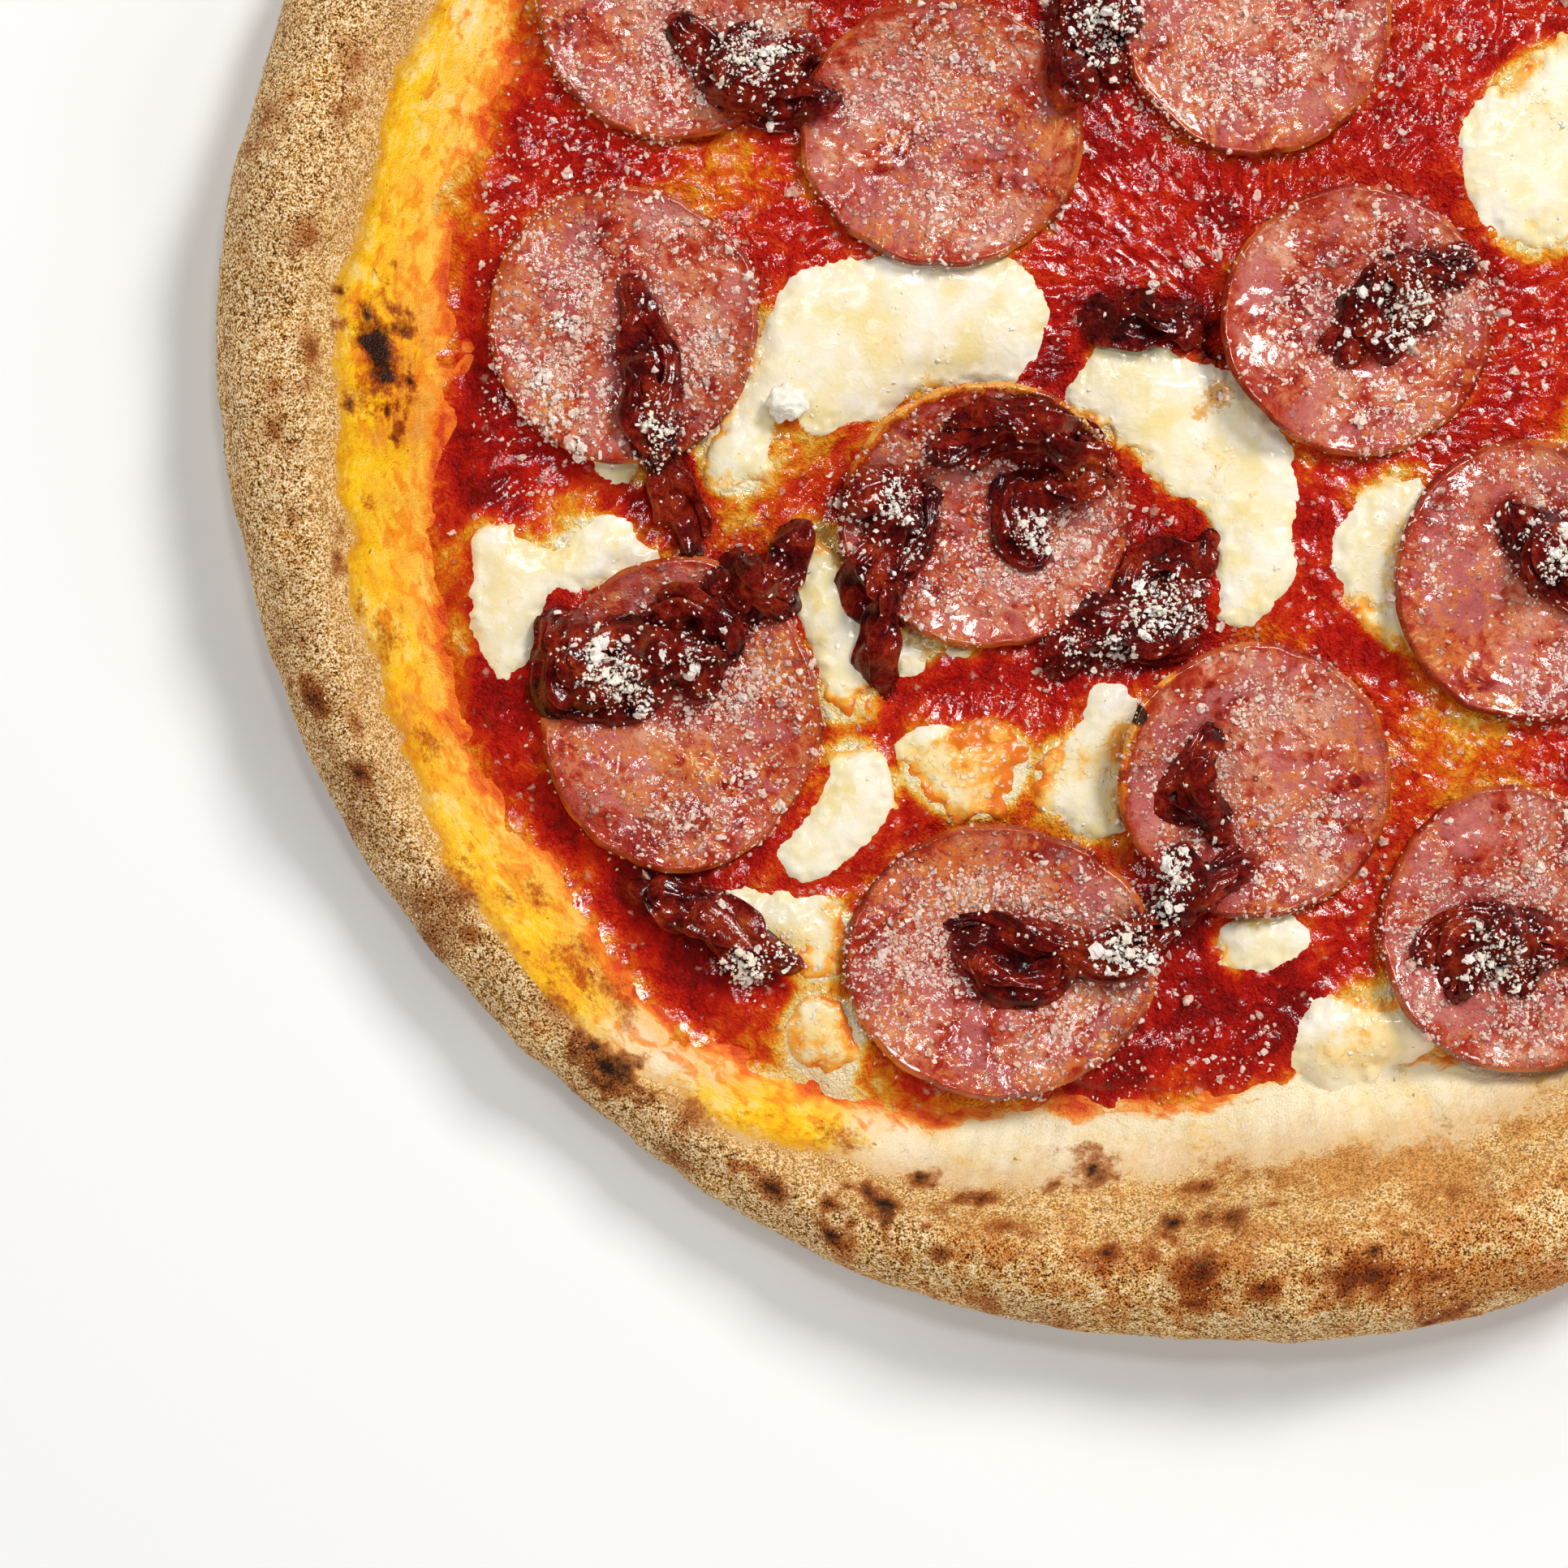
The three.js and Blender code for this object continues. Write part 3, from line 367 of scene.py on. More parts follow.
class Grid:
    """A number for each point of an even square grid seen from above, over a box given by its corners."""

    def __init__(self, low, high, step, fill=0.0):
        self.low = np.asarray(low, float)
        self.step = step
        shape = np.ceil((np.asarray(high, float) - self.low) / step).astype(int) + 1
        self.values = np.full((shape[1], shape[0]), fill, float)

    def like(self, values):
        """Another grid over the same points."""
        other = Grid.__new__(Grid)
        other.low, other.step, other.values = self.low, self.step, values.reshape(self.values.shape)
        return other

    def places(self):
        rows, cols = self.values.shape
        x = self.low[0] + self.step * np.arange(cols)
        y = self.low[1] + self.step * np.arange(rows)
        return columns(*np.meshgrid(x, y)).reshape(-1, 2)

    def cells(self, points):
        index = np.rint((points[:, :2] - self.low) / self.step).astype(int)
        inside = ((index >= 0) & (index < self.values.shape[::-1])).all(axis=1)
        return index[:, 1], index[:, 0], inside

    def take_in(self, points, pick=np.maximum):
        """Keeps the highest point at each place, or the lowest one with np.minimum."""
        row, col, inside = self.cells(points)
        pick.at(self.values, (row[inside], col[inside]), points[inside, 2])

    def at(self, points):
        rows, cols = self.values.shape
        place = np.clip((points[:, :2] - self.low) / self.step, 0, (cols - 1.001, rows - 1.001))
        first = np.floor(place).astype(int)
        x, y = first.T
        across, up = (place - first).T
        near = self.values[y, x] * (1 - across) + self.values[y, x + 1] * across
        far = self.values[y + 1, x] * (1 - across) + self.values[y + 1, x + 1] * across
        return near * (1 - up) + far * up

    def softened(self, reach, known):
        """Blurred over reach in millimetres, counting only the places where known is true."""
        weight = blurred(known.astype(float), reach / self.step)
        summed = blurred(np.where(known, self.values, 0.0), reach / self.step)
        return self.like(summed / np.maximum(weight, 1e-9))


def whole_grid():
    """A grid over the whole pizza."""
    return Grid((-PIZZA_RADIUS, -PIZZA_RADIUS), (PIZZA_RADIUS, PIZZA_RADIUS), RELIEF_STEP)


# ---- Reading the solids ----

def solid_triangles(name):
    """Corner points of a node's triangles in millimetres, as an array of triangles by corners by axes."""
    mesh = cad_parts[name].data
    mesh.calc_loop_triangles()
    points = np.empty(len(mesh.vertices) * 3, np.float32)
    mesh.vertices.foreach_get("co", points)
    corners = np.empty(len(mesh.loop_triangles) * 3, np.int32)
    mesh.loop_triangles.foreach_get("vertices", corners)
    return points.reshape(-1, 3).astype(float)[corners].reshape(-1, 3, 3) / MM


def spread_over(triangles, step):
    """Points on triangles, no further apart than step."""
    sides = np.linalg.norm(triangles - np.roll(triangles, 1, axis=1), axis=2).max(axis=1)
    counts = np.maximum(1, np.ceil(sides / step)).astype(int)
    found = []
    for count in np.unique(counts):
        shares = [(a, b, count - a - b) for a in range(count + 1) for b in range(count + 1 - a)]
        weights = np.array(shares, float) / count
        found.append(np.einsum("ks,nsd->nkd", weights, triangles[counts == count]).reshape(-1, 3))
    return np.concatenate(found)


def solid_surfaces(name, step=0.5):
    """The top and the underside of a node as grids, and where it is."""
    points = spread_over(solid_triangles(name), step * 0.7)
    low, high = points[:, :2].min(axis=0) - GRID_MARGIN, points[:, :2].max(axis=0) + GRID_MARGIN
    top, bottom = Grid(low, high, step, -NOWHERE), Grid(low, high, step, NOWHERE)
    top.take_in(points)
    bottom.take_in(points, np.minimum)
    return top, bottom, top.values > -NOWHERE


def middle_and_half(name):
    """A node's middle and half its size, seen from above."""
    low, high = (np.array(corner)[:2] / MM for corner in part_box(name))
    return (low + high) / 2, (high - low) / 2


def solid_outline(name):
    """The closed line of a sheet's edge seen from above, its corners cut twice."""
    triangles = solid_triangles(name)
    normals = np.cross(triangles[:, 1] - triangles[:, 0], triangles[:, 2] - triangles[:, 0])
    upright = triangles[np.abs(normals[:, 2]) < 1e-3 * np.linalg.norm(normals, axis=1)]
    links = {}
    for corner in np.round(upright[:, :, :2], 2):
        ends = sorted({tuple(point) for point in corner})
        if len(ends) == 2:
            links.setdefault(ends[0], set()).add(ends[1])
            links.setdefault(ends[1], set()).add(ends[0])
    start = min(links)
    line, came_from = [start], None
    while True:
        onward = sorted(point for point in links[line[-1]] if point != came_from)
        came_from = line[-1]
        if onward[0] == start or onward[0] in line:
            break
        line.append(onward[0])
    line = np.array(line)
    for _ in range(2):
        after = np.roll(line, -1, axis=0)
        line = np.stack([0.75 * line + 0.25 * after, 0.25 * line + 0.75 * after], axis=1).reshape(-1, 2)
    return line


def distance_inside(points, line):
    """How far each point is inside a closed line; less than 0 outside."""
    distance = np.full(len(points), np.inf)
    inside = np.zeros(len(points), bool)
    x, y = points[:, 0], points[:, 1]
    for (ax, ay), (bx, by) in zip(line, np.roll(line, -1, axis=0)):
        dx, dy = bx - ax, by - ay
        share = np.clip(((x - ax) * dx + (y - ay) * dy) / (dx * dx + dy * dy), 0, 1)
        distance = np.minimum(distance, np.hypot(x - ax - share * dx, y - ay - share * dy))
        if ay != by:
            inside ^= ((ay > y) != (by > y)) & (x < ax + (y - ay) * dx / dy)
    return np.where(inside, distance, -distance)


# ---- What is near what ----

def beyond_slices(points):
    """How far each point is outside the nearest slice of salami; less than 0 under one."""
    nearest = np.full(len(points), FAR)
    for centre, half in slice_places:
        away = np.linalg.norm((points[:, :2] - centre) / half, axis=1) - 1
        nearest = np.minimum(nearest, away * half.mean())
    return nearest


def beyond_cheese(points, lines):
    """How far each point is outside the nearest pool of cheese."""
    nearest = np.full(len(points), FAR)
    for line in lines:
        middle, half = (line.max(axis=0) + line.min(axis=0)) / 2, (line.max(axis=0) - line.min(axis=0)) / 2
        close = (np.abs(points[:, :2] - middle) < half + CHEESE_REACH).all(axis=1)
        nearest[close] = np.minimum(nearest[close], -distance_inside(points[close, :2], line))
    return nearest


def onion_grid(names):
    """1 where there is onion, falling to 0 a few millimetres away."""
    whole = whole_grid()
    for name in names:
        points = spread_over(solid_triangles(name), 0.35)
        points[:, 2] = 1.0
        whole.take_in(points)
    return whole.like(np.clip(blurred(whole.values, 3) * 1.6, 0, 1))


def softness(points):
    """Where cheese and sauce run into each other (1) and where they stay apart (0)."""
    uneven = rough(points[:, :2], (1.0, 13, 35), (0.25, 5, 36))
    return smoothstep(-0.25, 0.3, uneven + heaped(points, SOFT_PLACES))


def heaped(points, places):
    """The sum of soft round places of x, y, radius and amount."""
    total = np.zeros(len(points))
    for x, y, size, amount in places:
        total += amount * np.exp(-((points[:, 0] - x) ** 2 + (points[:, 1] - y) ** 2) / size ** 2)
    return total


# ---- Making meshes ----

def linked(name, data):
    """A new object in the scene."""
    made = bpy.data.objects.new(name, data)
    bpy.context.scene.collection.objects.link(made)
    return made


def make_piece(name, points, faces, material, nodes=(), marks=None, smooth=True):
    """A mesh from points in millimetres. marks are numbers or colours of the points, for the material."""
    mesh = bpy.data.meshes.new(name)
    mesh.vertices.add(len(points))
    mesh.vertices.foreach_set("co", (points * MM).astype(np.float32).ravel())
    mesh.loops.add(faces.size)
    mesh.loops.foreach_set("vertex_index", faces.astype(np.int32).ravel())
    mesh.polygons.add(len(faces))
    mesh.polygons.foreach_set("loop_start", np.arange(len(faces), dtype=np.int32) * faces.shape[1])
    mesh.update(calc_edges=True)
    mesh.polygons.foreach_set("use_smooth", np.full(len(faces), smooth))
    for title, values in (marks or {}).items():
        kind, field = ("FLOAT", "value") if np.ndim(values) == 1 else ("FLOAT_COLOR", "color")
        layer = mesh.attributes.new(title, kind, "POINT")
        layer.data.foreach_set(field, np.asarray(values, np.float32).ravel())
    mesh.materials.append(material)
    piece = linked(name, mesh)
    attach(piece, "root")
    if nodes:
        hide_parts(*nodes)


def as_triangles(quads):
    return np.concatenate([quads[:, [0, 1, 2]], quads[:, [0, 2, 3]]])


def closed_rows(rows, sectors, turned=False):
    """Triangles over rows of points that go round, closed by fans from the two points that follow them."""
    row = sectors * np.arange(rows - 1)[:, None]
    here = np.arange(sectors)
    after = (here + 1) % sectors
    quads = columns(row + here, row + after, row + sectors + after, row + sectors + here).reshape(-1, 4)
    one, other = (after, here) if turned else (here, after)
    centre, last = rows * sectors, (rows - 1) * sectors
    return np.concatenate([
        as_triangles(quads), columns(centre, one, other), columns(centre + 1, last + other, last + one)])


def closed_sheet(grid, wanted, top, bottom):
    """A closed mesh over the grid's cells whose corners are all wanted: its points, quads and used places."""
    wanted = wanted.reshape(grid.values.shape)
    keep = wanted[:-1, :-1] & wanted[1:, :-1] & wanted[:-1, 1:] & wanted[1:, 1:]
    ids = np.arange(wanted.size).reshape(wanted.shape)
    corners = ids[:-1, :-1], ids[:-1, 1:], ids[1:, 1:], ids[1:, :-1]
    used, back = np.unique(columns(*(corner[keep] for corner in corners)), return_inverse=True)
    back = back.reshape(-1, 4)
    count = len(used)
    edges = np.concatenate([back[:, [i, (i + 1) % 4]] for i in range(4)])
    codes = edges[:, 0].astype(np.int64) * count + edges[:, 1]
    reverse = edges[:, 1].astype(np.int64) * count + edges[:, 0]
    border = edges[~np.isin(codes, reverse)]
    walls = columns(border[:, 1], border[:, 0], border[:, 0] + count, border[:, 1] + count)
    places = grid.places()[used]
    points = [np.column_stack([places, height.ravel()[used]]) for height in (top, bottom)]
    return np.concatenate(points), np.concatenate([back, back[:, ::-1] + count, walls]), used


# ---- Materials ----

def rgb(code):
    """A colour for a shader from its usual six hexadecimal digits."""
    parts = [int(code[i:i + 2], 16) / 255 for i in (0, 2, 4)]
    return [c / 12.92 if c <= 0.04045 else ((c + 0.055) / 1.055) ** 2.4 for c in parts] + [1.0]


class Finish:
    """A material made of nodes. Sizes and depths are in millimetres."""

    def __init__(self, name, roughness, specular, coat=0.0, coat_roughness=0.03):
        self.material = bpy.data.materials.new(name)
        self.material.use_nodes = True
        self.tree = self.material.node_tree
        self.shader = self.tree.nodes["Principled BSDF"]
        self.set("Roughness", roughness)
        self.set("Specular IOR Level", specular)
        self.set("Coat Weight", coat)
        self.set("Coat Roughness", coat_roughness)
        self.place = self.node("TexCoord").outputs["Object"]

    def put(self, value, socket):
        """Gives a socket another node's output, a value, or the colour of a code."""
        if isinstance(value, bpy.types.NodeSocket):
            self.tree.links.new(value, socket)
        else:
            socket.default_value = rgb(value) if isinstance(value, str) else value

    def set(self, socket, value):
        self.put(value, self.shader.inputs[socket])

    def node(self, kind, inputs=(), **settings):
        made = self.tree.nodes.new("ShaderNode" + kind)
        for name, value in settings.items():
            setattr(made, name, value)
        for place, value in dict(inputs).items():
            self.put(value, made.inputs[place])
        return made

    def kept(self, title, output="Fac"):
        """A number or colour that is kept with the mesh's points."""
        return self.node("Attribute", attribute_name=title).outputs[output]

    def vector(self, operation, a, b=(0.0, 0.0, 0.0), output="Vector"):
        return self.node("VectorMath", {0: a, 1: b}, operation=operation).outputs[output]

    def math(self, operation, a, b=0.0, c=0.0):
        return self.node("Math", {0: a, 1: b, 2: c}, operation=operation).outputs[0]

    def times(self, a, b):
        return self.math("MULTIPLY", a, b)

    def mid(self, a, share_a, b, share_b):
        return self.math("MULTIPLY_ADD", a, share_a, self.times(b, share_b))

    def round_the_rim(self, length, width):
        """The place in units of length along the rim and of width across it."""
        flat = self.vector("MULTIPLY", self.place, (1.0, 1.0, 0.0))
        count = RIM_RADIUS / length
        along = self.vector("MULTIPLY", self.vector("NORMALIZE", flat), (count, count, 0.0))
        across = self.times(self.vector("LENGTH", flat, output="Value"), 1 / (width * MM))
        return self.vector("ADD", along, self.node("CombineXYZ", {2: across}).outputs[0])

    def noise(self, size, detail=2.0, roughness=0.5, distortion=0.0):
        """Noise with bumps about as wide as size, or of two sizes, along the rim and across it."""
        on_rim = isinstance(size, tuple)
        place, scale = (self.round_the_rim(*size), 1.0) if on_rim else (self.place, 1 / (size * MM))
        shape = {"Scale": scale, "Detail": detail, "Roughness": roughness, "Distortion": distortion}
        return self.node("TexNoise", {"Vector": place, **shape}).outputs["Fac"]

    def specks(self, size):
        """Cells about as wide as size: how far from a cell's middle, and a number of the cell's own."""
        bend = self.node("TexNoise", {"Vector": self.place, "Scale": 1.6 / (size * MM)})
        shift = self.vector("SUBTRACT", bend.outputs["Color"], (0.5, 0.5, 0.5))
        bent = self.vector("ADD", self.place, self.vector("MULTIPLY", shift, (0.9 * size * MM,) * 3))
        cells = self.node("TexVoronoi", {"Vector": bent, "Scale": 1 / (size * MM)}).outputs
        own = self.node("SeparateColor", {0: cells["Color"]}).outputs
        return self.math("DIVIDE", cells["Distance"], self.varied(0.85, (own[1], 0.9))), own[0]

    def granules(self, size, share, width=0.42):
        """1 on round grains in that share of the cells, 0 between them."""
        distance, own = self.specks(size)
        return self.times(self.step(distance, width, width * 0.45), self.step(own, share, share - 0.06))

    def varied(self, value, *noises):
        """A number, or the kept one of that name, made uneven by noises, each with its amount."""
        value = self.kept(value) if isinstance(value, str) else value
        for noise, amount in noises:
            value = self.math("ADD", value, self.math("MULTIPLY_ADD", noise, amount, -0.5 * amount))
        return value

    def step(self, value, low, high, start=0.0, end=1.0):
        """Rises smoothly from start to end as value goes from low to high."""
        inputs = enumerate((value, low, high, start, end))
        return self.node("MapRange", inputs, interpolation_type="SMOOTHSTEP").outputs[0]

    def ramp(self, factor, stops):
        made = self.node("ValToRGB", {"Fac": factor})
        elements = made.color_ramp.elements
        while len(elements) < len(stops):
            elements.new(0.5)
        for element, (position, code) in zip(elements, stops.items()):
            element.position = position
            element.color = rgb(code)
        return made.outputs["Color"]

    def mix(self, factor, a, b, blend="MIX"):
        return self.node("Mix", {0: factor, 6: a, 7: b}, data_type="RGBA", blend_type=blend).outputs[2]

    def laid(self, colour, level, *coats, blend="MIX"):
        """Coats of low, high, amount and colour, each laid on as level goes from its low to its high."""
        for low, high, amount, coat in coats:
            colour = self.mix(self.step(level, low, high, 0.0, amount), colour, coat, blend)
        return colour

    def done(self, colour, *layers, wet=0.0):
        """The material with its colour, and with relief from layers of a height and a depth.

        The coat follows the relief by the share wet.
        """
        height = 0.0
        for layer, depth in layers:
            height = self.math("MULTIPLY_ADD", layer, depth, height)
        normal = self.node("Bump", {"Distance": MM, "Height": height}).outputs["Normal"]
        self.set("Base Color", colour)
        self.set("Normal", normal)
        if wet:
            smooth = self.node("NewGeometry").outputs["Normal"]
            blend = self.node("Mix", {0: wet, 4: smooth, 5: normal}, data_type="VECTOR").outputs[1]
            self.set("Coat Normal", self.vector("NORMALIZE", blend))
        return self.material


def crust_finish():
    f = Finish("baked crust", 0.8, 0.25)
    fine = f.noise(0.34, 1.5, 0.7)
    grain = f.noise(1.0, 3.0, 0.7)
    blotch = f.noise(5.5, 3.0, 0.6)
    brushed = f.noise((5.5, 2.2), 3.0, 0.65, 1.6)
    fibres = f.noise((2.0, 0.7), 2.0, 0.6, 1.2)
    flecks = f.noise((4.0, 2.2), 2.5, 0.6, 0.5)

    # The dry outside: sandy grain over pale to brown dough, golden next to the slope.
    edge = f.varied("outside", (grain, 2.6), (blotch, 2.4))
    mixed = f.mid(fine, 0.64, grain, 0.36)
    pale = f.ramp(mixed, {0.4: "48280c", 0.455: "a06628", 0.5: "d6a25c", 0.55: "f6d298", 0.6: "fff2d4"})
    brown = f.ramp(mixed, {0.4: "582c0a", 0.455: "b47024", 0.5: "ecb45c", 0.55: "fcdc94", 0.6: "fff6dc"})
    toasted = f.varied("toast", (blotch, 2.6))
    sandy = f.laid(pale, toasted, (0.25, 0.95, 1.0, brown))
    sandy = f.laid(sandy, toasted, (0.6, 1.05, 0.75, "d29244"), blend="MULTIPLY")
    flour = f.ramp(mixed, {0.4: "765430", 0.5: "c4a577", 0.6: "fbeccf"})
    sandy = f.laid(sandy, f.varied("flour", (blotch, 1.2)), (0.45, 1.1, 0.5, flour))
    sandy = f.laid(sandy, edge, (7.0, 1.0, 0.3, "e8b464"))
    # Browner places and a darker lower outside: partly toast, partly painted shade where the rim turns from
    # the light.
    brown_and_shade = f.varied("brown_and_shade", (blotch, 1.8), (grain, 1.2))
    sandy = f.laid(sandy, brown_and_shade, (0.25, 1.0, 0.9, "b07a44"), blend="MULTIPLY")

    # The slope towards the filling: pale cream where dry, deep yellow and orange where oil ran.
    tint = f.varied("warm", (blotch, 0.7), (brushed, 0.6), (fibres, 0.22), (grain, 0.3))
    slope = f.ramp(tint, {
        0.0: "f3e4c2", 0.2: "f3dfac", 0.36: "fad874", 0.5: "fecc20", 0.63: "febb04", 0.77: "ec9406",
        0.93: "d06408"})
    distance, own = f.specks(2.6)
    dots = f.times(f.step(distance, 0.13, 0.06), f.step(own, 0.4, 0.34))
    slope = f.mix(f.times(dots, 0.8), slope, "7c3d0c")

    # Tomato has smeared up the slope and soaked into the dough next to the sauce.
    slope = f.laid(slope, f.varied("soak", (blotch, 0.6)), (0.2, 0.6, 0.6, "f4b450"))
    slope = f.laid(
        slope, f.varied("soak", (flecks, 2.0), (brushed, 0.5)), (0.4, 0.7, 0.8, "f08c14"),
        (0.7, 1.0, 0.8, "e66008"), (1.08, 1.4, 0.85, "cc3405"))
    golden = f.ramp(f.kept("warm"), {0.1: "dfae6a", 0.4: "bd7414"})
    colour = f.laid(slope, edge, (-3.0, -0.3, 0.6, golden), (-0.7, 0.4, 1.0, sandy))

    # Burnt places: brown round black.
    burnt = f.varied("char", (grain, 1.0), (fine, 0.4))
    colour = f.laid(colour, burnt, (0.12, 0.6, 0.9, "bc7c3e"), blend="MULTIPLY")
    core = f.ramp(mixed, {0.42: "060202", 0.56: "1e0f0a", 0.64: "4a2a18"})
    colour = f.laid(colour, burnt, (0.45, 1.0, 0.97, core))
    f.set("Roughness", f.step(edge, -1.5, 0.5, 0.4, 0.85))
    relief = f.mix(f.step(edge, -1.0, 0.5), brushed, grain)
    return f.done(colour, (relief, 0.42), (fine, 0.24))


def tomato_finish():
    f = Finish("tomato", 0.4, 0.15, coat=1.0, coat_roughness=0.08)
    lumps = f.noise(2.6, 3.0, 0.65, 0.6)
    fine = f.noise(0.6, 2.5, 0.6, 0.5)
    level = f.varied("oil", (lumps, 0.8), (f.noise(8.0), 0.4), (fine, 0.2))
    colour = f.ramp(level, {
        0.0: "780200", 0.14: "a00601", 0.28: "bd1502", 0.42: "d13405", 0.55: "e2690a", 0.68: "ee9c22",
        0.82: "f5cb70", 0.95: "f8e8be"})
    grains = f.granules(1.7, 0.22)
    colour = f.mix(f.times(grains, 0.45), colour, "f0b8a0")
    return f.done(colour, (lumps, 0.85), (fine, 0.75), (grains, 0.35), wet=0.12)


def cheese_finish():
    f = Finish("melted cheese", 0.4, 0.25, coat=0.4, coat_roughness=0.12)
    middle = f.noise(2.4, 3.0, 0.6, 0.5)
    fine = f.noise(0.7)
    colour = f.ramp(f.noise(7.0), {0.3: "f3eada", 0.5: "efe2be", 0.7: "ebd697"})
    colour = f.laid(colour, middle, (0.48, 0.66, 0.55, "f8f2e2"))
    stain = f.varied("stain", (middle, 1.3), (fine, 0.4))
    colour = f.laid(
        colour, stain, (0.3, 0.7, 0.85, "f0cf86"), (0.62, 0.95, 0.9, "f0a32c"), (0.95, 1.25, 0.9, "dd6a12"))
    foamy = f.times(f.granules(1.0, 0.6, 0.5), f.step(stain, 0.3, 0.6, 0.0, 0.5))
    colour = f.mix(foamy, colour, "f8e6cf")
    browned = f.varied("browned", (fine, 1.0))
    colour = f.laid(colour, browned, (0.35, 0.7, 0.85, "dd9a20"), (0.8, 1.05, 0.85, "8a4310"))
    colour = f.mix(f.times(f.granules(2.3, 0.75, 0.07), 0.8), colour, "54452c")
    return f.done(colour, (middle, 0.16), (fine, 0.05), (foamy, 0.25), wet=0.3)


def salami_finish():
    f = Finish("salami", 0.4, 0.2, coat=1.0, coat_roughness=0.07)
    broad = f.noise(10.0)
    patch = f.noise(4.2, 3.0, 0.55, 1.4)
    fat = f.noise(2.0, 2.5, 0.6, 1.2)
    fine = f.noise(0.6, 2.0, 0.6, 0.5)
    level = f.varied(patch, (broad, 1.1), (fat, 0.6))
    colour = f.ramp(level, {0.2: "7c0a02", 0.33: "a0240e", 0.46: "b84628", 0.58: "c66c4c", 0.76: "de9e80"})
    colour = f.laid(colour, f.noise(8.0, 3.0, 0.6, 0.8), (0.47, 0.6, 0.75, "bf6864"))
    greasy = f.varied("grease", (patch, 1.8), (fat, 1.7))
    colour = f.laid(colour, greasy, (0.5, 0.85, 0.8, "d07030"), (0.95, 1.3, 0.85, "f0bd78"))
    colour = f.laid(colour, fine, (0.42, 0.26, 0.6, "7a1005"))

    # Fine grated cheese, half melted in.
    cover = f.step(f.varied("cover", (fat, 1.6)), 0.2, 0.8)
    small = f.times(f.granules(1.0, 0.66, 0.5), cover)
    large = f.times(f.granules(2.0, 0.4, 0.45), cover)
    colour = f.mix(f.times(small, 0.36), colour, "efcab8")
    colour = f.mix(f.times(large, 0.55), colour, "f3ddcc")

    # A redder margin, juice next to onion, the casing, where the rim is fried crisp, and painted shade in a
    # fold of the rim.
    colour = f.laid(colour, f.varied("margin", (patch, 4.5)), (3.0, 0.6, 0.6, "a82c0e"))
    colour = f.laid(colour, f.varied("juice", (patch, 1.4), (fine, 0.6)), (0.35, 0.85, 0.88, "8e0d04"))
    casing = f.ramp(broad, {0.42: "7c1406", 0.5: "a02e0a", 0.6: "cc6a1e"})
    colour = f.laid(colour, f.varied("margin", (fat, 1.2)), (0.9, 0.3, 0.9, casing))
    colour = f.laid(
        colour, f.varied("crisp", (patch, 1.4), (fine, 0.9)), (0.2, 0.45, 0.85, "a02c08"),
        (0.55, 0.8, 0.9, "da6c12"), (0.95, 1.25, 0.85, "f2ae50"))
    # Painted shade: black in a fold of the rim.
    colour = f.laid(colour, f.kept("fold_shade"), (0.35, 0.7, 0.95, "160705"))
    return f.done(colour, (patch, 0.45), (fine, 0.25), (small, 0.35), (large, 0.5), wet=0.14)


def onion_finish():
    f = Finish("cooked onion", 0.45, 0.12, coat=1.0, coat_roughness=0.08)
    fine = f.noise(0.8, 3.0, 0.65, 0.6)
    level = f.varied(f.mid(f.noise(4.5, 2.0, 0.5, 0.5), 0.6, fine, 0.4), (f.noise(13.0, 1.0), 0.3))
    colour = f.ramp(level, {0.32: "220000", 0.43: "4c0100", 0.53: "780c03", 0.63: "9a2c0c", 0.74: "b65222"})
    colour = f.laid(colour, f.varied("thin", (fine, 0.9)), (0.7, 1.2, 0.6, "9a3a0e"))
    return f.done(colour, (f.noise(1.7, 3.0, 0.6, 2.0), 0.8), (fine, 0.45), wet=0.12)


def grated_finish():
    f = Finish("grated cheese", 0.45, 0.25, coat=0.4, coat_roughness=0.08)
    fine = f.noise(0.35)
    return f.done(f.laid(f.kept("tint", "Color"), fine, (0.4, 0.7, 0.3, "fffdf8")), (fine, 0.15))


# ---- Crust ----

def outer_radius(angle):
    return PIZZA_RADIUS + 0.5 * np.sin(4 * angle + 1) + 0.35 * np.sin(10 * angle + 2.1) - 0.4


def rim_height(angle):
    swells = 0.9 * np.sin(13 * angle + 0.7) + 0.7 * np.sin(21 * angle + 2)
    return around(RIM_HEIGHTS, angle) + swells + 0.4 * np.sin(34 * angle)


def sauce_edge(angle):
    return around(SAUCE_EDGES, angle) + 1.4 * np.sin(11 * angle + 0.4) + 0.9 * np.sin(19 * angle + 1.1)


def film_edge(angle):
    """How far out the thinnest film of sauce reaches."""
    return sauce_edge(angle) + np.maximum(around(SPILLS, angle), 0)


def rim_places(angle):
    """The crest's radius and the foot's, where the rim comes down to the base."""
    foot = sauce_edge(angle) + 1.5
    return foot + (outer_radius(angle) - foot) * 0.6, foot


def slope_height(radius, angle):
    """The height of the dough inside the crest."""
    crest, foot = rim_places(angle)
    share = np.clip((crest - radius) / (crest - foot), 0, 1)
    return BASE_TOP + (rim_height(angle) - BASE_TOP) * (1 - smoothstep(-0.15, 1.0, share))


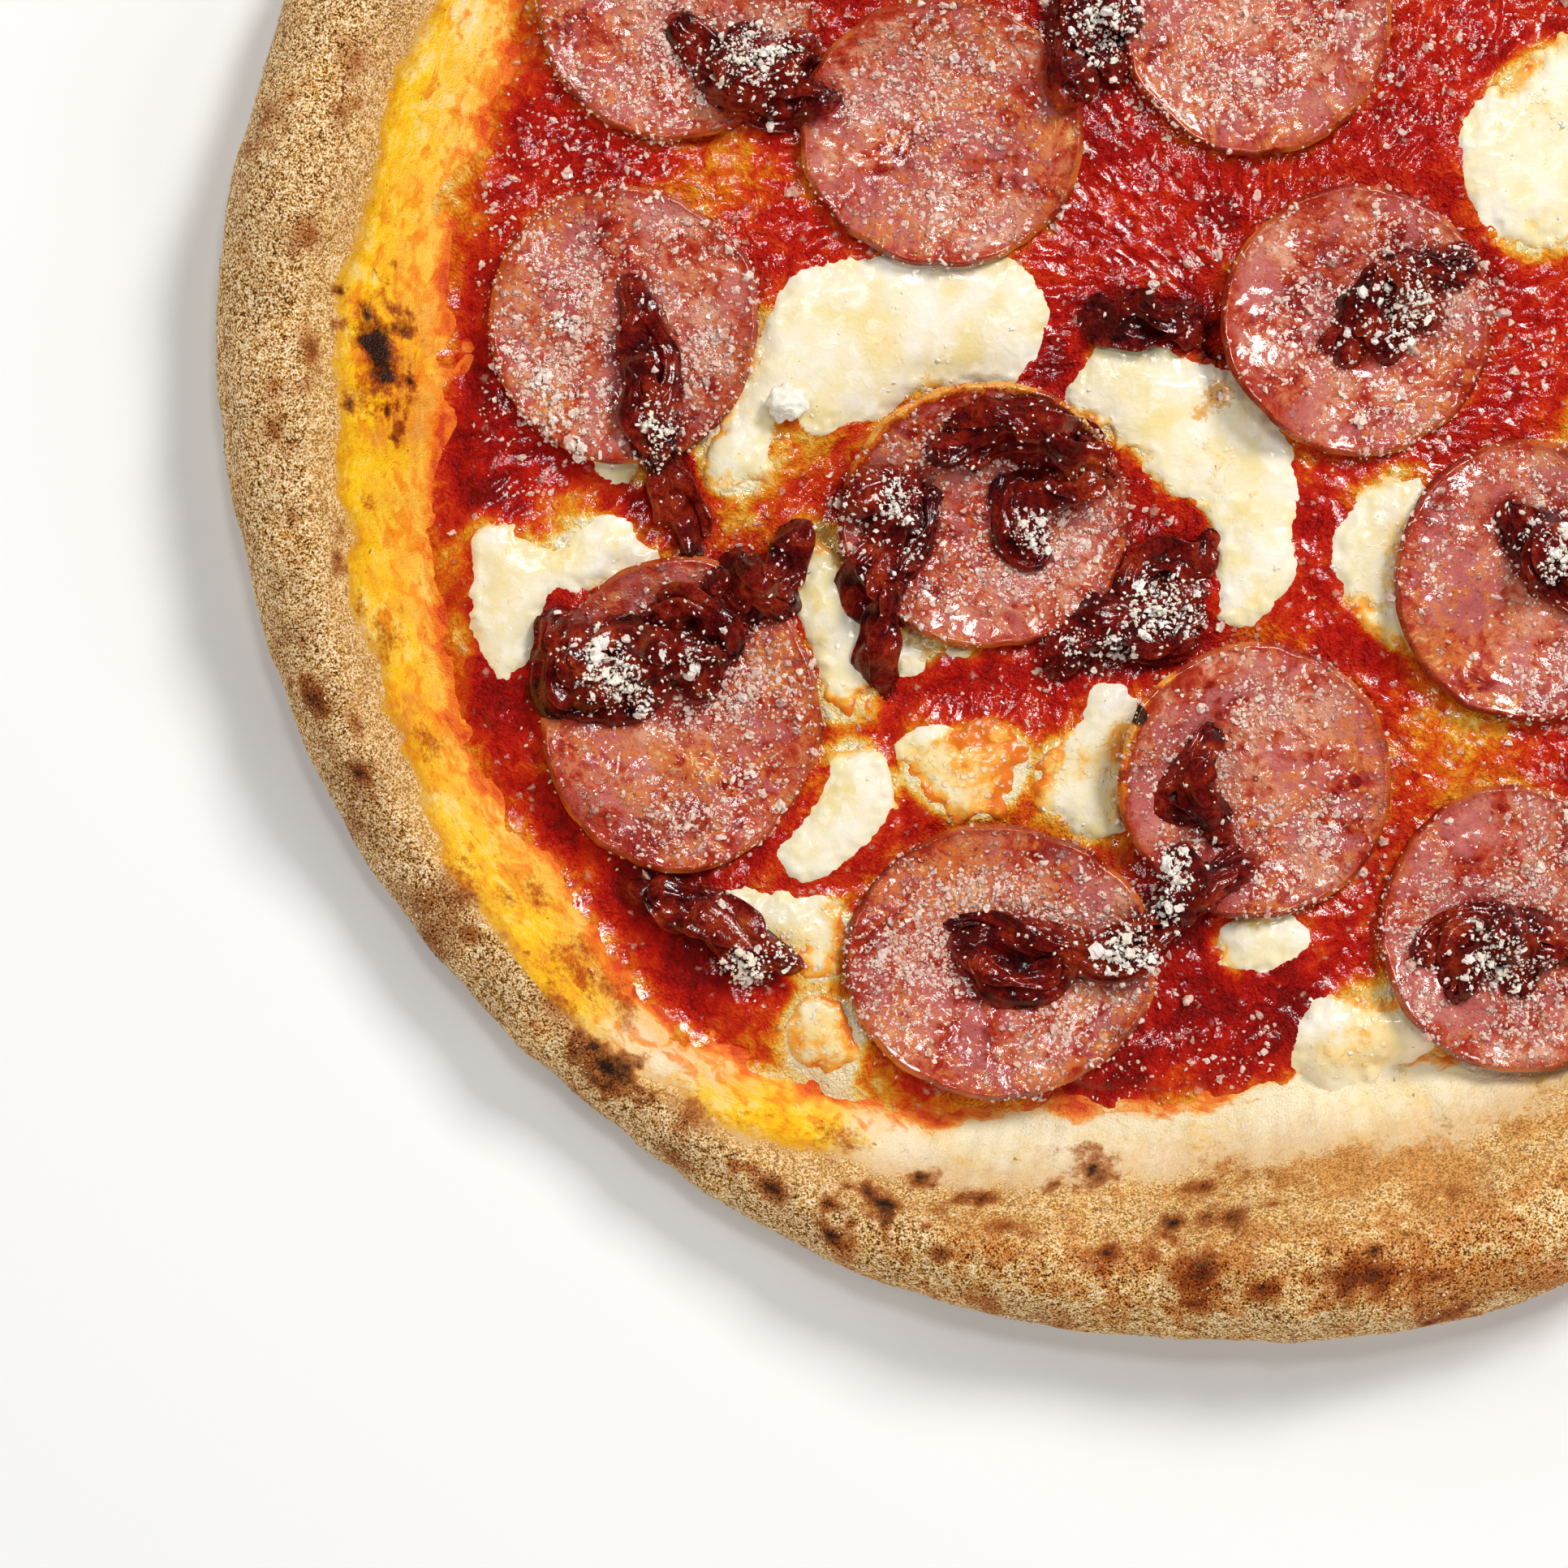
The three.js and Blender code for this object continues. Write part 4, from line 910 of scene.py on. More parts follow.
def crust_rows():
    """Angles, and rows of radii and heights from the underside's middle, round the rim, to the base's top."""
    angle = turns(CRUST_SECTORS)
    outer, height = outer_radius(angle), rim_height(angle)
    crest, foot = rim_places(angle)
    zero = np.zeros(CRUST_SECTORS)
    stops = [(zero + 1.5, zero), (outer - 9, zero), (outer - 2.5, zero + 2.2)]
    for climb in np.radians([0, 15, 30, 45, 60, 75, 90]):
        stops.append((crest + (outer - crest) * np.cos(climb), height * (0.4 + 0.6 * np.sin(climb))))
    for share in np.linspace(0.1, 1.0, 10):
        radius = crest + (foot - crest) * share
        stops.append((radius, slope_height(radius, angle)))
    stops += [(foot * 0.75, zero + BASE_TOP), (zero + 1.5, zero + BASE_TOP)]
    counts = [8, 8, 7] + [4] * 6 + [3] * 11 + [2]
    rows = []
    for here, after, count in zip(stops, stops[1:], counts):
        for share in np.arange(count) / count:
            rows.append([between(h, a, share) for h, a in zip(here, after)])
    rows = np.array([*rows, stops[-1]])
    first, last = FIRST_RIM_ROW, -FLAT_TOP_ROWS
    for _ in range(8):
        rows[first:last] = (
            0.25 * rows[first - 1:last - 1] + 0.5 * rows[first:last] + 0.25 * rows[first + 1:last + 1])
    return angle, rows[:, 0], rows[:, 1]


def grid_normals(points):
    """Normals of a mesh whose points are in rows that go round."""
    along = np.roll(points, -1, axis=1) - np.roll(points, 1, axis=1)
    return unit(np.cross(along, np.gradient(points, axis=0)))


def crust_blisters(points, rng):
    """How far blisters lift each point of the rim."""
    lift = np.zeros(len(points))
    for _ in range(BLISTERS):
        angle = rng.uniform(0, 2 * np.pi)
        centre = on_circle(outer_radius(angle) - 26 * rng.uniform(0, 1) ** 1.6, angle)
        side = rng.uniform(0, 1)
        size = rng.uniform(2.0, 6.5)
        height = rng.uniform(0.12, 0.24) * size ** 0.8
        z = rim_height(angle) * (0.45 + 0.55 * math.sqrt(side))
        near = np.linalg.norm((points - [*centre, z]) / [1, 1, 1.3], axis=1) / size
        lift += height * np.clip(1 - near ** 2, 0, 1) ** 1.5
    return lift


def burnt_spots(rng):
    """x, y, height as a share of the rim's (None for on top), size, length along the rim and darkness."""
    spots = [(x, y, None, *rest) for x, y, *rest in BURNT_SPOTS]
    for _ in range(MORE_BURNT_SPOTS):
        angle = rng.uniform(0, 2 * np.pi)
        depth = 24 * rng.uniform(0, 1)
        strength = 0.35 + 0.4 * around(TOAST, angle) * rng.uniform(0.5, 1.2)
        level = rng.uniform(0.05, 1) if depth < 6 else None
        place = on_circle(outer_radius(angle) - depth, angle)
        spots.append((*place, level, rng.uniform(0.7, 2.4), rng.uniform(1.0, 1.8), strength))
    return spots


def burnt_amount(points, rng):
    """How burnt each point of the rim is, from 0 to 1.2."""
    top = points[:, 2] > 8
    ragged = 1 + rough(points, (0.6, 2.6, 55), (0.35, 1.1, 56))
    char = 0.12 + 0.4 * around(TOAST, polar(points)[1])
    char *= smoothstep(0.15, 0.9, layered(points, 5.0, 3, 57))
    for x, y, level, size, length, strength in burnt_spots(rng):
        angle = math.atan2(y, x)
        if level is None:
            centre = points[np.argmin(np.hypot(points[:, 0] - x, points[:, 1] - y) + np.where(top, 0, FAR))]
        else:
            centre = np.array([x, y, level * rim_height(angle)])
        away = points - centre
        outward = away[:, 0] * math.cos(angle) + away[:, 1] * math.sin(angle)
        sideways = (away[:, 1] * math.cos(angle) - away[:, 0] * math.sin(angle)) / length
        distance = np.sqrt(outward ** 2 + sideways ** 2 + away[:, 2] ** 2) / size * ragged
        char = np.maximum(char, strength * (1.35 - 0.55 * distance) * (distance < 2.4))
    return np.clip(char, 0, 1.2)


def crust_lift(points, radius, angle, streaked, rng):
    """How far swellings, streaks and blisters lift each point of the rim."""
    crest = rim_places(angle)[0]
    streak = layered(np.column_stack([on_circle(PIZZA_RADIUS, angle), radius * 0.14]), 1.7, 2, 5)
    lift = 0.55 * layered(points, 15, 2, 1)
    lift += rough(points, (0.3, 5.5, 3), (0.10, 2.4, 4), (0.07, 1.5, 7))
    lift += 0.30 * streak * smoothstep(crest + 2, crest - 6, radius) * streaked
    return lift + crust_blisters(points, rng)


def crust_marks(points, radius, angle, row, char):
    """The numbers that the crust's finish uses."""
    warmth = around(WARMTH, angle)
    outside = radius - around(SANDY_EDGES, angle) + rough(points, (1.2, 9, 11), (0.8, 3.2, 12))
    outside = np.where(row < CREST_ROW, 12.0, outside * np.clip(0.28 + 1.2 * warmth, 0, 1))
    rise = radius - film_edge(angle) + 1.5 * noise(points, 5.0, 13)
    soak = 0.68 * np.exp(-np.maximum(rise, 0) / (1.0 + 10 * warmth)) + 0.5 * smoothstep(2.0, -0.6, rise)
    # The outside's lower part: more floury, and darker as painted shade.
    low = smoothstep(0.62, 0.3, points[:, 2] / rim_height(angle)) * (outside > 5)
    return {
        "outside": outside,
        "soak": np.clip(soak, 0, 1.2) * (outside < 8),
        "warm": 0.52 * warmth + 0.10 * noise(points, 14, 17) + heaped(points, TINTED_PLACES),
        "toast": around(TOAST, angle) + 0.4 * noise(points, 9, 18),
        # Browner at the outer edge and lower down: partly toast, partly painted shade.
        "brown_and_shade": heaped(points, BROWN_AND_SHADED_PLACES) + 0.4 * smoothstep(0, 0.8, noise(points, 8, 20)) + 0.2 * low,
        "flour": 0.10 + 0.5 * low + 0.25 * noise(points, 7, 19),
        "char": char,
    }


def make_crust(material):
    """Returns the crust's points, their normals, and where coarse flour may stick to it."""
    rng = np.random.RandomState(41)
    angle, radius, height = crust_rows()
    rows = len(radius)
    row = np.repeat(np.arange(rows), CRUST_SECTORS)
    spread = np.broadcast_to(angle, radius.shape)
    base = columns(radius * np.cos(spread), radius * np.sin(spread), height)
    points, normals = base.reshape(-1, 3), grid_normals(base).reshape(-1, 3)
    radius, angle = radius.ravel(), spread.ravel()
    lift = crust_lift(points, radius, angle, row >= STREAKED_ROW, rng)
    char = burnt_amount(points, rng)
    lift -= 0.25 * smoothstep(0.6, 1.0, char)
    lift *= smoothstep(film_edge(angle) - 2, film_edge(angle) + 6, radius)
    lift *= (row >= FIRST_RIM_ROW) & (row < rows - FLAT_TOP_ROWS)
    moved = points + normals * lift[:, None]
    moved[:, 2] = np.maximum(moved[:, 2], 0.0)
    marks = crust_marks(points, radius, angle, row, char)
    floury = (marks["outside"] > 1.5) & (moved[:, 2] > 1.0) & (char < 0.5)
    marks = {title: np.append(values, [values[0], values[-1]]) for title, values in marks.items()}
    every_point = np.concatenate([moved, [[0, 0, 0], [0, 0, BASE_TOP]]])
    faces = closed_rows(rows, CRUST_SECTORS, turned=True)
    make_piece("crust", every_point, faces, material, ["dough"], marks)
    return moved, normals, floury


# ---- Tomato sauce ----

def sauce_height(points, near_cheese=None):
    """The sauce's top: soft lumps, a thin film up the foot of the rim, and higher next to cheese."""
    radius, angle = polar(points)
    edge = film_edge(angle) + rough(points, (1.6, 5.5, 23), (0.9, 2.0, 24))
    lumps = 0.35 * layered(points, 7.0, 2, 25) + 0.22 * noise(points, 1.1, 29)
    for amount, size, seed in ((0.45, 3.2, 27), (0.40, 1.8, 28)):
        lumps += amount * (0.5 - np.abs(noise(points, size, seed)))
    if near_cheese is not None:
        lumps += 0.8 * smoothstep(6.0, -1.0, near_cheese + 1.5 * noise(points, 4.0, 30))
    film = smoothstep(edge + 1.5, edge - 0.5, radius)
    ground = slope_height(radius, angle) - 0.5 + (0.75 + 0.45 * lumps) * film
    inside = smoothstep(edge + 0.5, edge - 5.5 - around(SPILLS, angle), radius)
    return between(ground, SAUCE_TOP + lumps, inside)


def oil_amount(points, outlines):
    """How oily the sauce is: more next to cheese, salami and the rim, less next to onion."""
    flat = points[:, :2]
    radius, angle = polar(points)
    inward = film_edge(angle) - radius
    deep = np.clip(heaped(points, DEEP_PLACES), 0, 1)
    run = smoothstep(3.2 + 2.2 * noise(flat, 6, 33), -0.5, beyond_cheese(points, outlines))
    oil = 0.24 + 0.44 * heaped(points, OILY_PLACES) - 0.2 * deep
    oil += (0.12 + 0.5 * softness(points)) * run * (1 - 0.6 * deep)
    oil += 0.12 * layered(flat, 11, 2, 31) + 0.10 * smoothstep(3.0, 0.0, beyond_slices(points))
    oil -= 0.28 * onion_near.at(points)
    oil += 0.36 * smoothstep(8.0 + 5 * noise(flat, 6, 34), -2.0, inward) * (1 - 0.7 * deep)
    return oil + (0.06 + 0.22 * deep) * smoothstep(3.2 + 3.0 * noise(flat, 3.0, 37), -1.0, inward)


def make_sauce(material, outlines):
    angle = turns(SAUCE_SECTORS)
    share = np.linspace(0, 1, SAUCE_RINGS + 1)[1:, None] ** 0.8
    flat = on_circle(share * (film_edge(angle) + 3.5), angle).reshape(-1, 2)
    top = np.column_stack([flat, sauce_height(flat, beyond_cheese(flat, outlines))])
    rings = top.reshape(SAUCE_RINGS, SAUCE_SECTORS, 3)
    under = [rings[k] - [0, 0, 0.6] for k in (-1, -3, -6)]
    inner = rings[-12] * [1, 1, 0] + [0, 0, BASE_TOP]
    points = np.concatenate([top, *under, inner, [[0, 0, SAUCE_TOP], [0, 0, BASE_TOP]]])
    faces = closed_rows(SAUCE_RINGS + 4, SAUCE_SECTORS)
    oil = oil_amount(points, outlines)
    make_piece("tomato_sauce", points, faces, material, ["sauce"], {"oil": oil})


# ---- Melted cheese ----

def make_cheese(name, line, material, relief):
    """A pool over its solid's outline, ragged and thin at the edge."""
    seed = seed_of(name, 60, 7)
    grid = Grid(line.min(axis=0) - GRID_MARGIN, line.max(axis=0) + GRID_MARGIN, CHEESE_STEP)
    places = grid.places()
    inside = distance_inside(places, line)
    soft = softness(places)
    ragged = inside + rough(places, (1.0, 6.5, seed), (0.5, 2.6, seed + 1), (0.25, 1.2, seed + 2))
    ragged += soft * rough(places, (1.4, 3.2, seed + 12), (0.7, 1.5, seed + 13))
    under = between(sauce_height(places, -inside), SAUCE_TOP + 0.7, smoothstep(-0.5, 4.5, ragged))
    fullness = 1 - (1 - np.clip((ragged + 0.8) / 6.0, 0, 1)) ** 1.8
    thickness = CHEESE_THICKNESS * fullness * (1 + 0.10 * layered(places, 9, 2, seed + 3))
    thickness += 0.05 * noise(places, 2.6, seed + 5) * fullness - 0.35 * smoothstep(0.0, 4.0, ragged)
    bottom = sauce_height(places) - 0.8
    top = np.maximum(under - 0.4 + thickness, bottom + 0.05)
    points, faces, used = closed_sheet(grid, ragged > -0.9, top, bottom)
    there, ragged, soft = places[used], ragged[used], soft[used]
    oily_rim = smoothstep(-0.5, 0.4, noise(there, 9, seed + 6)) * smoothstep(3.2, -0.5, beyond_slices(there))
    stain = 0.85 * soft * smoothstep(0.4 + 3.2 * soft, -0.6, ragged) + 0.55 * oily_rim
    stain += heaped(there, STAINED_PLACES) + 0.5 * onion_near.at(there)
    stain += 0.25 * smoothstep(0.2, 0.8, noise(there, 7.0, seed + 9))
    marks = {"stain": np.tile(stain, 2), "browned": np.tile(heaped(there, BROWNED_PLACES), 2)}
    make_piece(name.replace("cheese", "melted_cheese"), points, faces, material, [name], marks)
    relief.take_in(points[:len(used)])


# ---- Salami ----

def slice_marks(points, top_count, share, tilt, width, seed):
    """The numbers that the salami's finish uses. share goes from 0 in the middle to 1 at the rim."""
    flat = points[:, :2]
    wet = onion_near.at(points) + 0.25 * smoothstep(0.2, 0.8, noise(flat, 9, seed + 11))
    crisp = 0.5 * smoothstep(2.0, 5.0, tilt) + heaped(points, CRISP_PLACES)
    crisp *= smoothstep(0.87, 0.99, share) * (0.7 + 0.5 * noise(flat, 2.6, seed + 16))
    grease = 0.3 + heaped(points, GREASY_PLACES) + 0.4 * noise(flat, 11, seed + 8)
    return {
        "margin": (1 - share) * width,
        "grease": grease + 0.2 * smoothstep(0.75, 1.0, share),
        "cover": 0.45 + 0.6 * noise(flat, 10, seed + 13) + heaped(points, COVERED_PLACES),
        "crisp": crisp,
        # Painted shade in a fold of the rim.
        "fold_shade": heaped(points, FOLD_SHADE_MARKS),
        "juice": (wet + heaped(points, RED_PLACES)) * (np.arange(len(points)) < top_count),
    }


def make_slice(name, material, relief):
    """A slice of the same outline as its solid, hanging as the solid does, but less even."""
    seed = seed_of(name, 200, 5)
    centre, half = middle_and_half(name)
    _, bottom, known = solid_surfaces(name)
    soft = bottom.softened(1.5, known)
    circle = on_circle(1, turns(SLICE_SECTORS))
    wavy = 1 + rough(circle * 20, (0.018, 11.0, seed), (0.014, 4.0, seed + 1), (0.008, 1.8, seed + 3))
    curl = rough(circle * 20, (0.9, 12.0, seed + 7), (0.35, 5.0, seed + 9))
    curl += heaped(centre + circle * half, CRISP_PLACES) * (0.5 + 0.6 * noise(circle * 20, 3.0, seed + 15))

    def lie(shares):
        """Places at shares of the radius, and the height of the slice's underside there."""
        flat = (centre + shares[:, None, None] * (circle * half * wavy[:, None])).reshape(-1, 2)
        share = np.repeat(shares, SLICE_SECTORS)
        hang = soft.at(centre + (flat - centre) * (1 - 0.03 * share[:, None]))
        hang += np.tile(curl, len(shares)) * share ** 5 * smoothstep(0.7, 1.0, share)
        return flat, share, hang + 0.25 * noise(flat, 11, seed + 5)

    flat, share, hang = lie(TOP_SHARES)
    margin = (1 - share) * half.mean()
    creases = np.abs(layered(flat, 6.5, 2, seed + 2))
    top = hang + SLICE_THICKNESS - 0.45 * creases + 0.2 * layered(flat, 4, 2, seed + 4)
    top += rough(flat, (0.13, 1.8, seed + 6), (0.09, 1.0, seed + 8))
    top += 0.25 * np.exp(-((margin - 0.8) / 0.45) ** 2) - 0.8 * smoothstep(1.0, 0.0, margin) ** 2
    under_flat, under_share, under_hang = lie(UNDER_SHARES)
    under_hang += 0.35 * (under_share == 1.0)
    points = np.concatenate([
        np.column_stack([flat, top]), np.column_stack([under_flat, under_hang]),
        [[*centre, top[:SLICE_SECTORS].mean()], [*centre, under_hang[-SLICE_SECTORS:].mean()]]])
    faces = closed_rows(len(TOP_SHARES) + len(UNDER_SHARES), SLICE_SECTORS)
    share = np.concatenate([share, under_share, [0, 0]])
    tilt = np.concatenate([hang, under_hang, [hang.mean()] * 2]) - np.median(hang)
    marks = slice_marks(points, len(flat), share, tilt, half.mean(), seed)
    make_piece(name.replace("salami", "salami_slice"), points, faces, material, [name], marks)
    relief.take_in(points[:len(flat)])


# ---- Onion ----

def smooth_path(corners, step):
    """Points evenly along a smooth line through the corners."""
    corners = np.asarray(corners, float)
    padded = np.concatenate([2 * corners[:1] - corners[1:2], corners, 2 * corners[-1:] - corners[-2:-1]])
    found = []
    t = np.linspace(0, 1, 24, endpoint=False)[:, None]
    for a, b, c, d in zip(padded, padded[1:], padded[2:], padded[3:]):
        found.append(0.5 * (2 * b + (c - a) * t + (2 * a - 5 * b + 4 * c - d) * t ** 2
                            + (3 * b - a - 3 * c + d) * t ** 3))
    line = np.concatenate([*found, corners[-1:]])
    length = np.concatenate([[0], np.cumsum(np.linalg.norm(np.diff(line, axis=0), axis=1))])
    even = np.linspace(0, length[-1], max(6, int(length[-1] / step)))
    return columns(*(np.interp(even, length, line[:, k]) for k in (0, 1))), even


def tangled_strips(x, y, turn, length, rng):
    """The strips of a heap that the photograph doesn't show."""
    cos, sin = math.cos(math.radians(turn)), math.sin(math.radians(turn))

    def place(along, across):
        return (x + length * (along * cos - across * sin), y + length * (along * sin + across * cos))

    def wander():
        return 0.12 * (rng.uniform() - 0.5)

    bend = 0.14 + 0.08 * rng.uniform()
    return [
        ([place(-0.5, wander()), place(-0.15, bend), place(0.2, bend * 0.6),
          place(0.5, wander() - 0.1)], 6.4),
        ([place(-0.3, -0.2), place(-0.08, 0.04 + wander()), place(0.22, 0.22 + wander())], 5.4),
        ([place(0.05, -0.24 + wander()), place(0.12, 0.08), place(0.0, 0.32 + wander())], 4),
    ]


def across_line(line):
    """The direction across a line at each of its points."""
    tangent = unit(np.gradient(line, axis=0))
    return columns(-tangent[:, 1], tangent[:, 0])


def strand(line, along, relief, rng):
    """A wrinkled ribbon along a line: its points and triangles, and how near its sides each point is."""
    thickness = rng.uniform(*STRAND_THICKNESSES)
    ground = relief.at(line) + 0.15 * thickness + rng.uniform(-0.2, 0.25)
    width = rng.uniform(*STRAND_WIDTHS)
    phase = rng.uniform(0, 2 * np.pi, 6)
    taper = np.clip(np.minimum(along, along[-1] - along) / 1.8 + 0.12, 0, 1) ** 0.5
    wavy = 1 + 0.25 * np.sin(along / 2.3 + phase[0]) + 0.15 * np.sin(along / 1.1 + phase[1])
    half = (0.5 * width * taper * wavy)[:, None]
    twist = (0.5 * np.sin(along / 5.5 + phase[2]) + 0.2 * np.sin(along / 2.4 + phase[3]))[:, None]
    across, up = on_circle(1, turns(STRAND_SECTORS)).T
    cells = columns(along[:, None] / 1.9, across * 1.3 + phase[4], phase[0]).reshape(-1, 3)
    crumple = noise(cells, 1.0, int(phase[5] * 100)) + 0.6 * noise(cells, 0.45, int(phase[5] * 90))
    fold = 0.2 * np.sin(2.3 * np.pi * across + phase[4] + along[:, None] / 3.0)
    fold += 0.34 * crumple.reshape(fold.shape)
    curled = 0.34 * half * (1 - across ** 2) + 0.3 * np.abs(across) ** 5
    flat_out = half * across
    flat_up = taper[:, None] * (0.5 * thickness * up + fold) + curled
    out = flat_out * np.cos(twist) - flat_up * np.sin(twist)
    rise = flat_out * np.sin(twist) + flat_up * np.cos(twist)
    base = np.convolve(np.pad(ground, 2, mode="edge"), np.ones(5) / 5, mode="valid")
    flat = line[:, None] + across_line(line)[:, None] * out[:, :, None]
    rows = np.concatenate([flat, (base[:, None] + rise)[:, :, None]], axis=2)
    points = np.concatenate([rows.reshape(-1, 3), [rows[0].mean(axis=0), rows[-1].mean(axis=0)]])
    thin = np.append(np.broadcast_to(np.abs(across) ** 3, out.shape), [0.5, 0.5])
    return points, closed_rows(len(line), STRAND_SECTORS), thin


def heap_mound(name, relief):
    """The low mound that a heap's strips lie on: its points and triangles, and how many are on top."""
    seed = seed_of(name, 500, 9)
    top, _, known = solid_surfaces(name, HEAP_STEP)
    places = top.places()
    near = blurred(known.astype(float), 1.0 / top.step).ravel()
    ground = relief.at(places)
    fullness = smoothstep(0.3, 0.78, near + 0.12 * noise(places, 2.2, seed))
    depth = np.clip(top.softened(0.9, known).values.ravel() - ground, 0.6, 5.0)
    mound = depth * fullness * (0.76 + 0.24 * layered(places, 3.0, 2, seed + 1))
    points, faces, used = closed_sheet(top, near > 0.24, ground - 0.35 + mound, ground - 0.55)
    return points, as_triangles(faces), len(used)


def make_heap(name, strips, material, relief):
    """A heap of strips, each made of several strands side by side."""
    rng = np.random.RandomState(seed_of(name, 400, 1))
    points, faces, on_top = heap_mound(name, relief)
    relief.take_in(points[:on_top])
    bodies = [(points, faces, np.zeros(len(points)))]
    for corners, width in strips:
        line, along = smooth_path(corners, 0.5)
        side = across_line(line)
        strands = max(2, int(round(width / STRAND_SPACING)))
        for k in range(strands):
            lane = (k + 0.5) / strands - 0.5
            start, end = rng.uniform(0, 0.18), rng.uniform(0.82, 1.0)
            part = slice(int(start * len(line)), max(int(end * len(line)), 8))
            sway = 0.2 * width * np.sin(along / rng.uniform(2.5, 5.0) + rng.uniform(0, 6.28))
            path = (line + side * (lane * width * 0.9 + sway)[:, None])[part]
            if len(path) >= 6:
                bodies.append(strand(path, along[part] - along[part][0], relief, rng))
                relief.take_in(bodies[-1][0][:-2])
    starts = np.cumsum([0] + [len(points) for points, _, _ in bodies])
    points, faces, thin = zip(*bodies)
    faces = np.concatenate([start + body for start, body in zip(starts, faces)])
    make_piece(name.replace("onion", "onion_strips"), np.concatenate(points), faces, material,
               [name], {"thin": np.concatenate(thin)})


# ---- Grated cheese ----

def solid_shape(kind):
    """A small faceted body about one unit across: its points and triangles."""
    mesh = bpy.data.meshes.new("shape")
    shape = bmesh.new()
    bmesh.ops.create_icosphere(shape, subdivisions=kind, radius=0.5)
    shape.to_mesh(mesh)
    shape.free()
    points = np.array([v.co for v in mesh.vertices])
    faces = np.array([p.vertices for p in mesh.polygons])
    bpy.data.meshes.remove(mesh)
    return points, faces


OCTAHEDRON = (
    np.array([[1, 0, 0], [-1, 0, 0], [0, 1, 0], [0, -1, 0], [0, 0, 1], [0, 0, -1]]) * 0.5,
    np.array([[0, 2, 4], [2, 1, 4], [1, 3, 4], [3, 0, 4], [2, 0, 5], [1, 2, 5], [3, 1, 5], [0, 3, 5]]),
)


def random_turns(count, rng):
    """Rotation matrices that point every way alike."""
    q = rng.normal(size=(count, 4))
    w, x, y, z = (q / np.linalg.norm(q, axis=1, keepdims=True)).T
    return np.stack([
        columns(1 - 2 * (y * y + z * z), 2 * (x * y - z * w), 2 * (x * z + y * w)),
        columns(2 * (x * y + z * w), 1 - 2 * (x * x + z * z), 2 * (y * z - x * w)),
        columns(2 * (x * z - y * w), 2 * (y * z + x * w), 1 - 2 * (x * x + y * y)),
    ], axis=1)


def strew(name, shape, places, sizes, tints, material, rng):
    """One mesh of many small angular bodies, each of another proportion and turned another way."""
    points, faces = shape
    count = len(places)
    stretch = rng.uniform(0.4, 1.5, (count, 1, 3))
    knobbly = 1 + 0.42 * rng.uniform(-1, 1, (count, len(points), 1))
    bodies = points[None] * stretch * knobbly * sizes[:, None, None]
    bodies = np.einsum("nij,nkj->nki", random_turns(count, rng), bodies) + places[:, None, :]
    faces = (faces[None] + (np.arange(count) * len(points))[:, None, None]).reshape(-1, 3)
    marks = {"tint": np.repeat(tints, len(points), axis=0)}
    make_piece(name, bodies.reshape(-1, 3), faces, material, marks=marks, smooth=False)


def grain_tints(owner, lumpy, rng):
    """Whiter on onion and in clumps, pinker and darker where melted into salami or sauce."""
    white, cream, pink, rosy = (np.array(rgb(code)) for code in ("fffefa", "f6ecd6", "e9c0ae", "c67f66"))
    share = rng.uniform(0, 1, (len(owner), 1))
    melt = np.array([0.3, 0.8, 0.1, 0.75, 0.3])[owner] * (1 - lumpy) + 0.25 * rng.uniform(-1, 1, len(owner))
    melt = np.clip(melt, 0, 1)[:, None]
    return between(between(white, cream, share), between(rosy, pink, share), melt)


def lump_amount(points):
    """How much grated cheese is gathered at each point."""
    amount = np.zeros(len(points))
    uneven = 0.35 * noise(points[:, :2], 1.6, 71)
    for x, y, spread, strength in CLUMPS:
        distance = np.hypot(points[:, 0] - x, points[:, 1] - y) / spread
        amount = np.maximum(amount, strength * np.exp(-(distance + uneven) ** 2 * 0.9))
    return amount


def scatter_places(count, rng, relief, owners, crowding, loose):
    """Places on the filling, more of them where grated cheese gathers."""
    found, left = [], count
    while left > 0:
        radius = FILLING_RADIUS * np.sqrt(rng.uniform(0, 1, TRIES))
        flat = on_circle(radius, rng.uniform(0, 2 * np.pi, TRIES))
        row, col, _ = owners.cells(flat)
        owner = owners.values[row, col].astype(int)
        lumpy = lump_amount(flat)
        patchy = smoothstep(-0.45, 0.6, layered(flat, 10, 2, 81)) * 0.93 + 0.07
        covered = 1 + 2.5 * heaped(flat, COVERED_PLACES) * (owner == ON_SALAMI)
        chance = np.array(crowding)[owner] * patchy * loose * covered + lumpy ** 1.3 * (owner > 0)
        taken = np.flatnonzero(rng.uniform(0, 1, len(flat)) < chance)[:left]
        found.append(np.column_stack([flat, relief.at(flat), owner, lumpy])[taken])
        left -= len(taken)
    return np.concatenate(found)


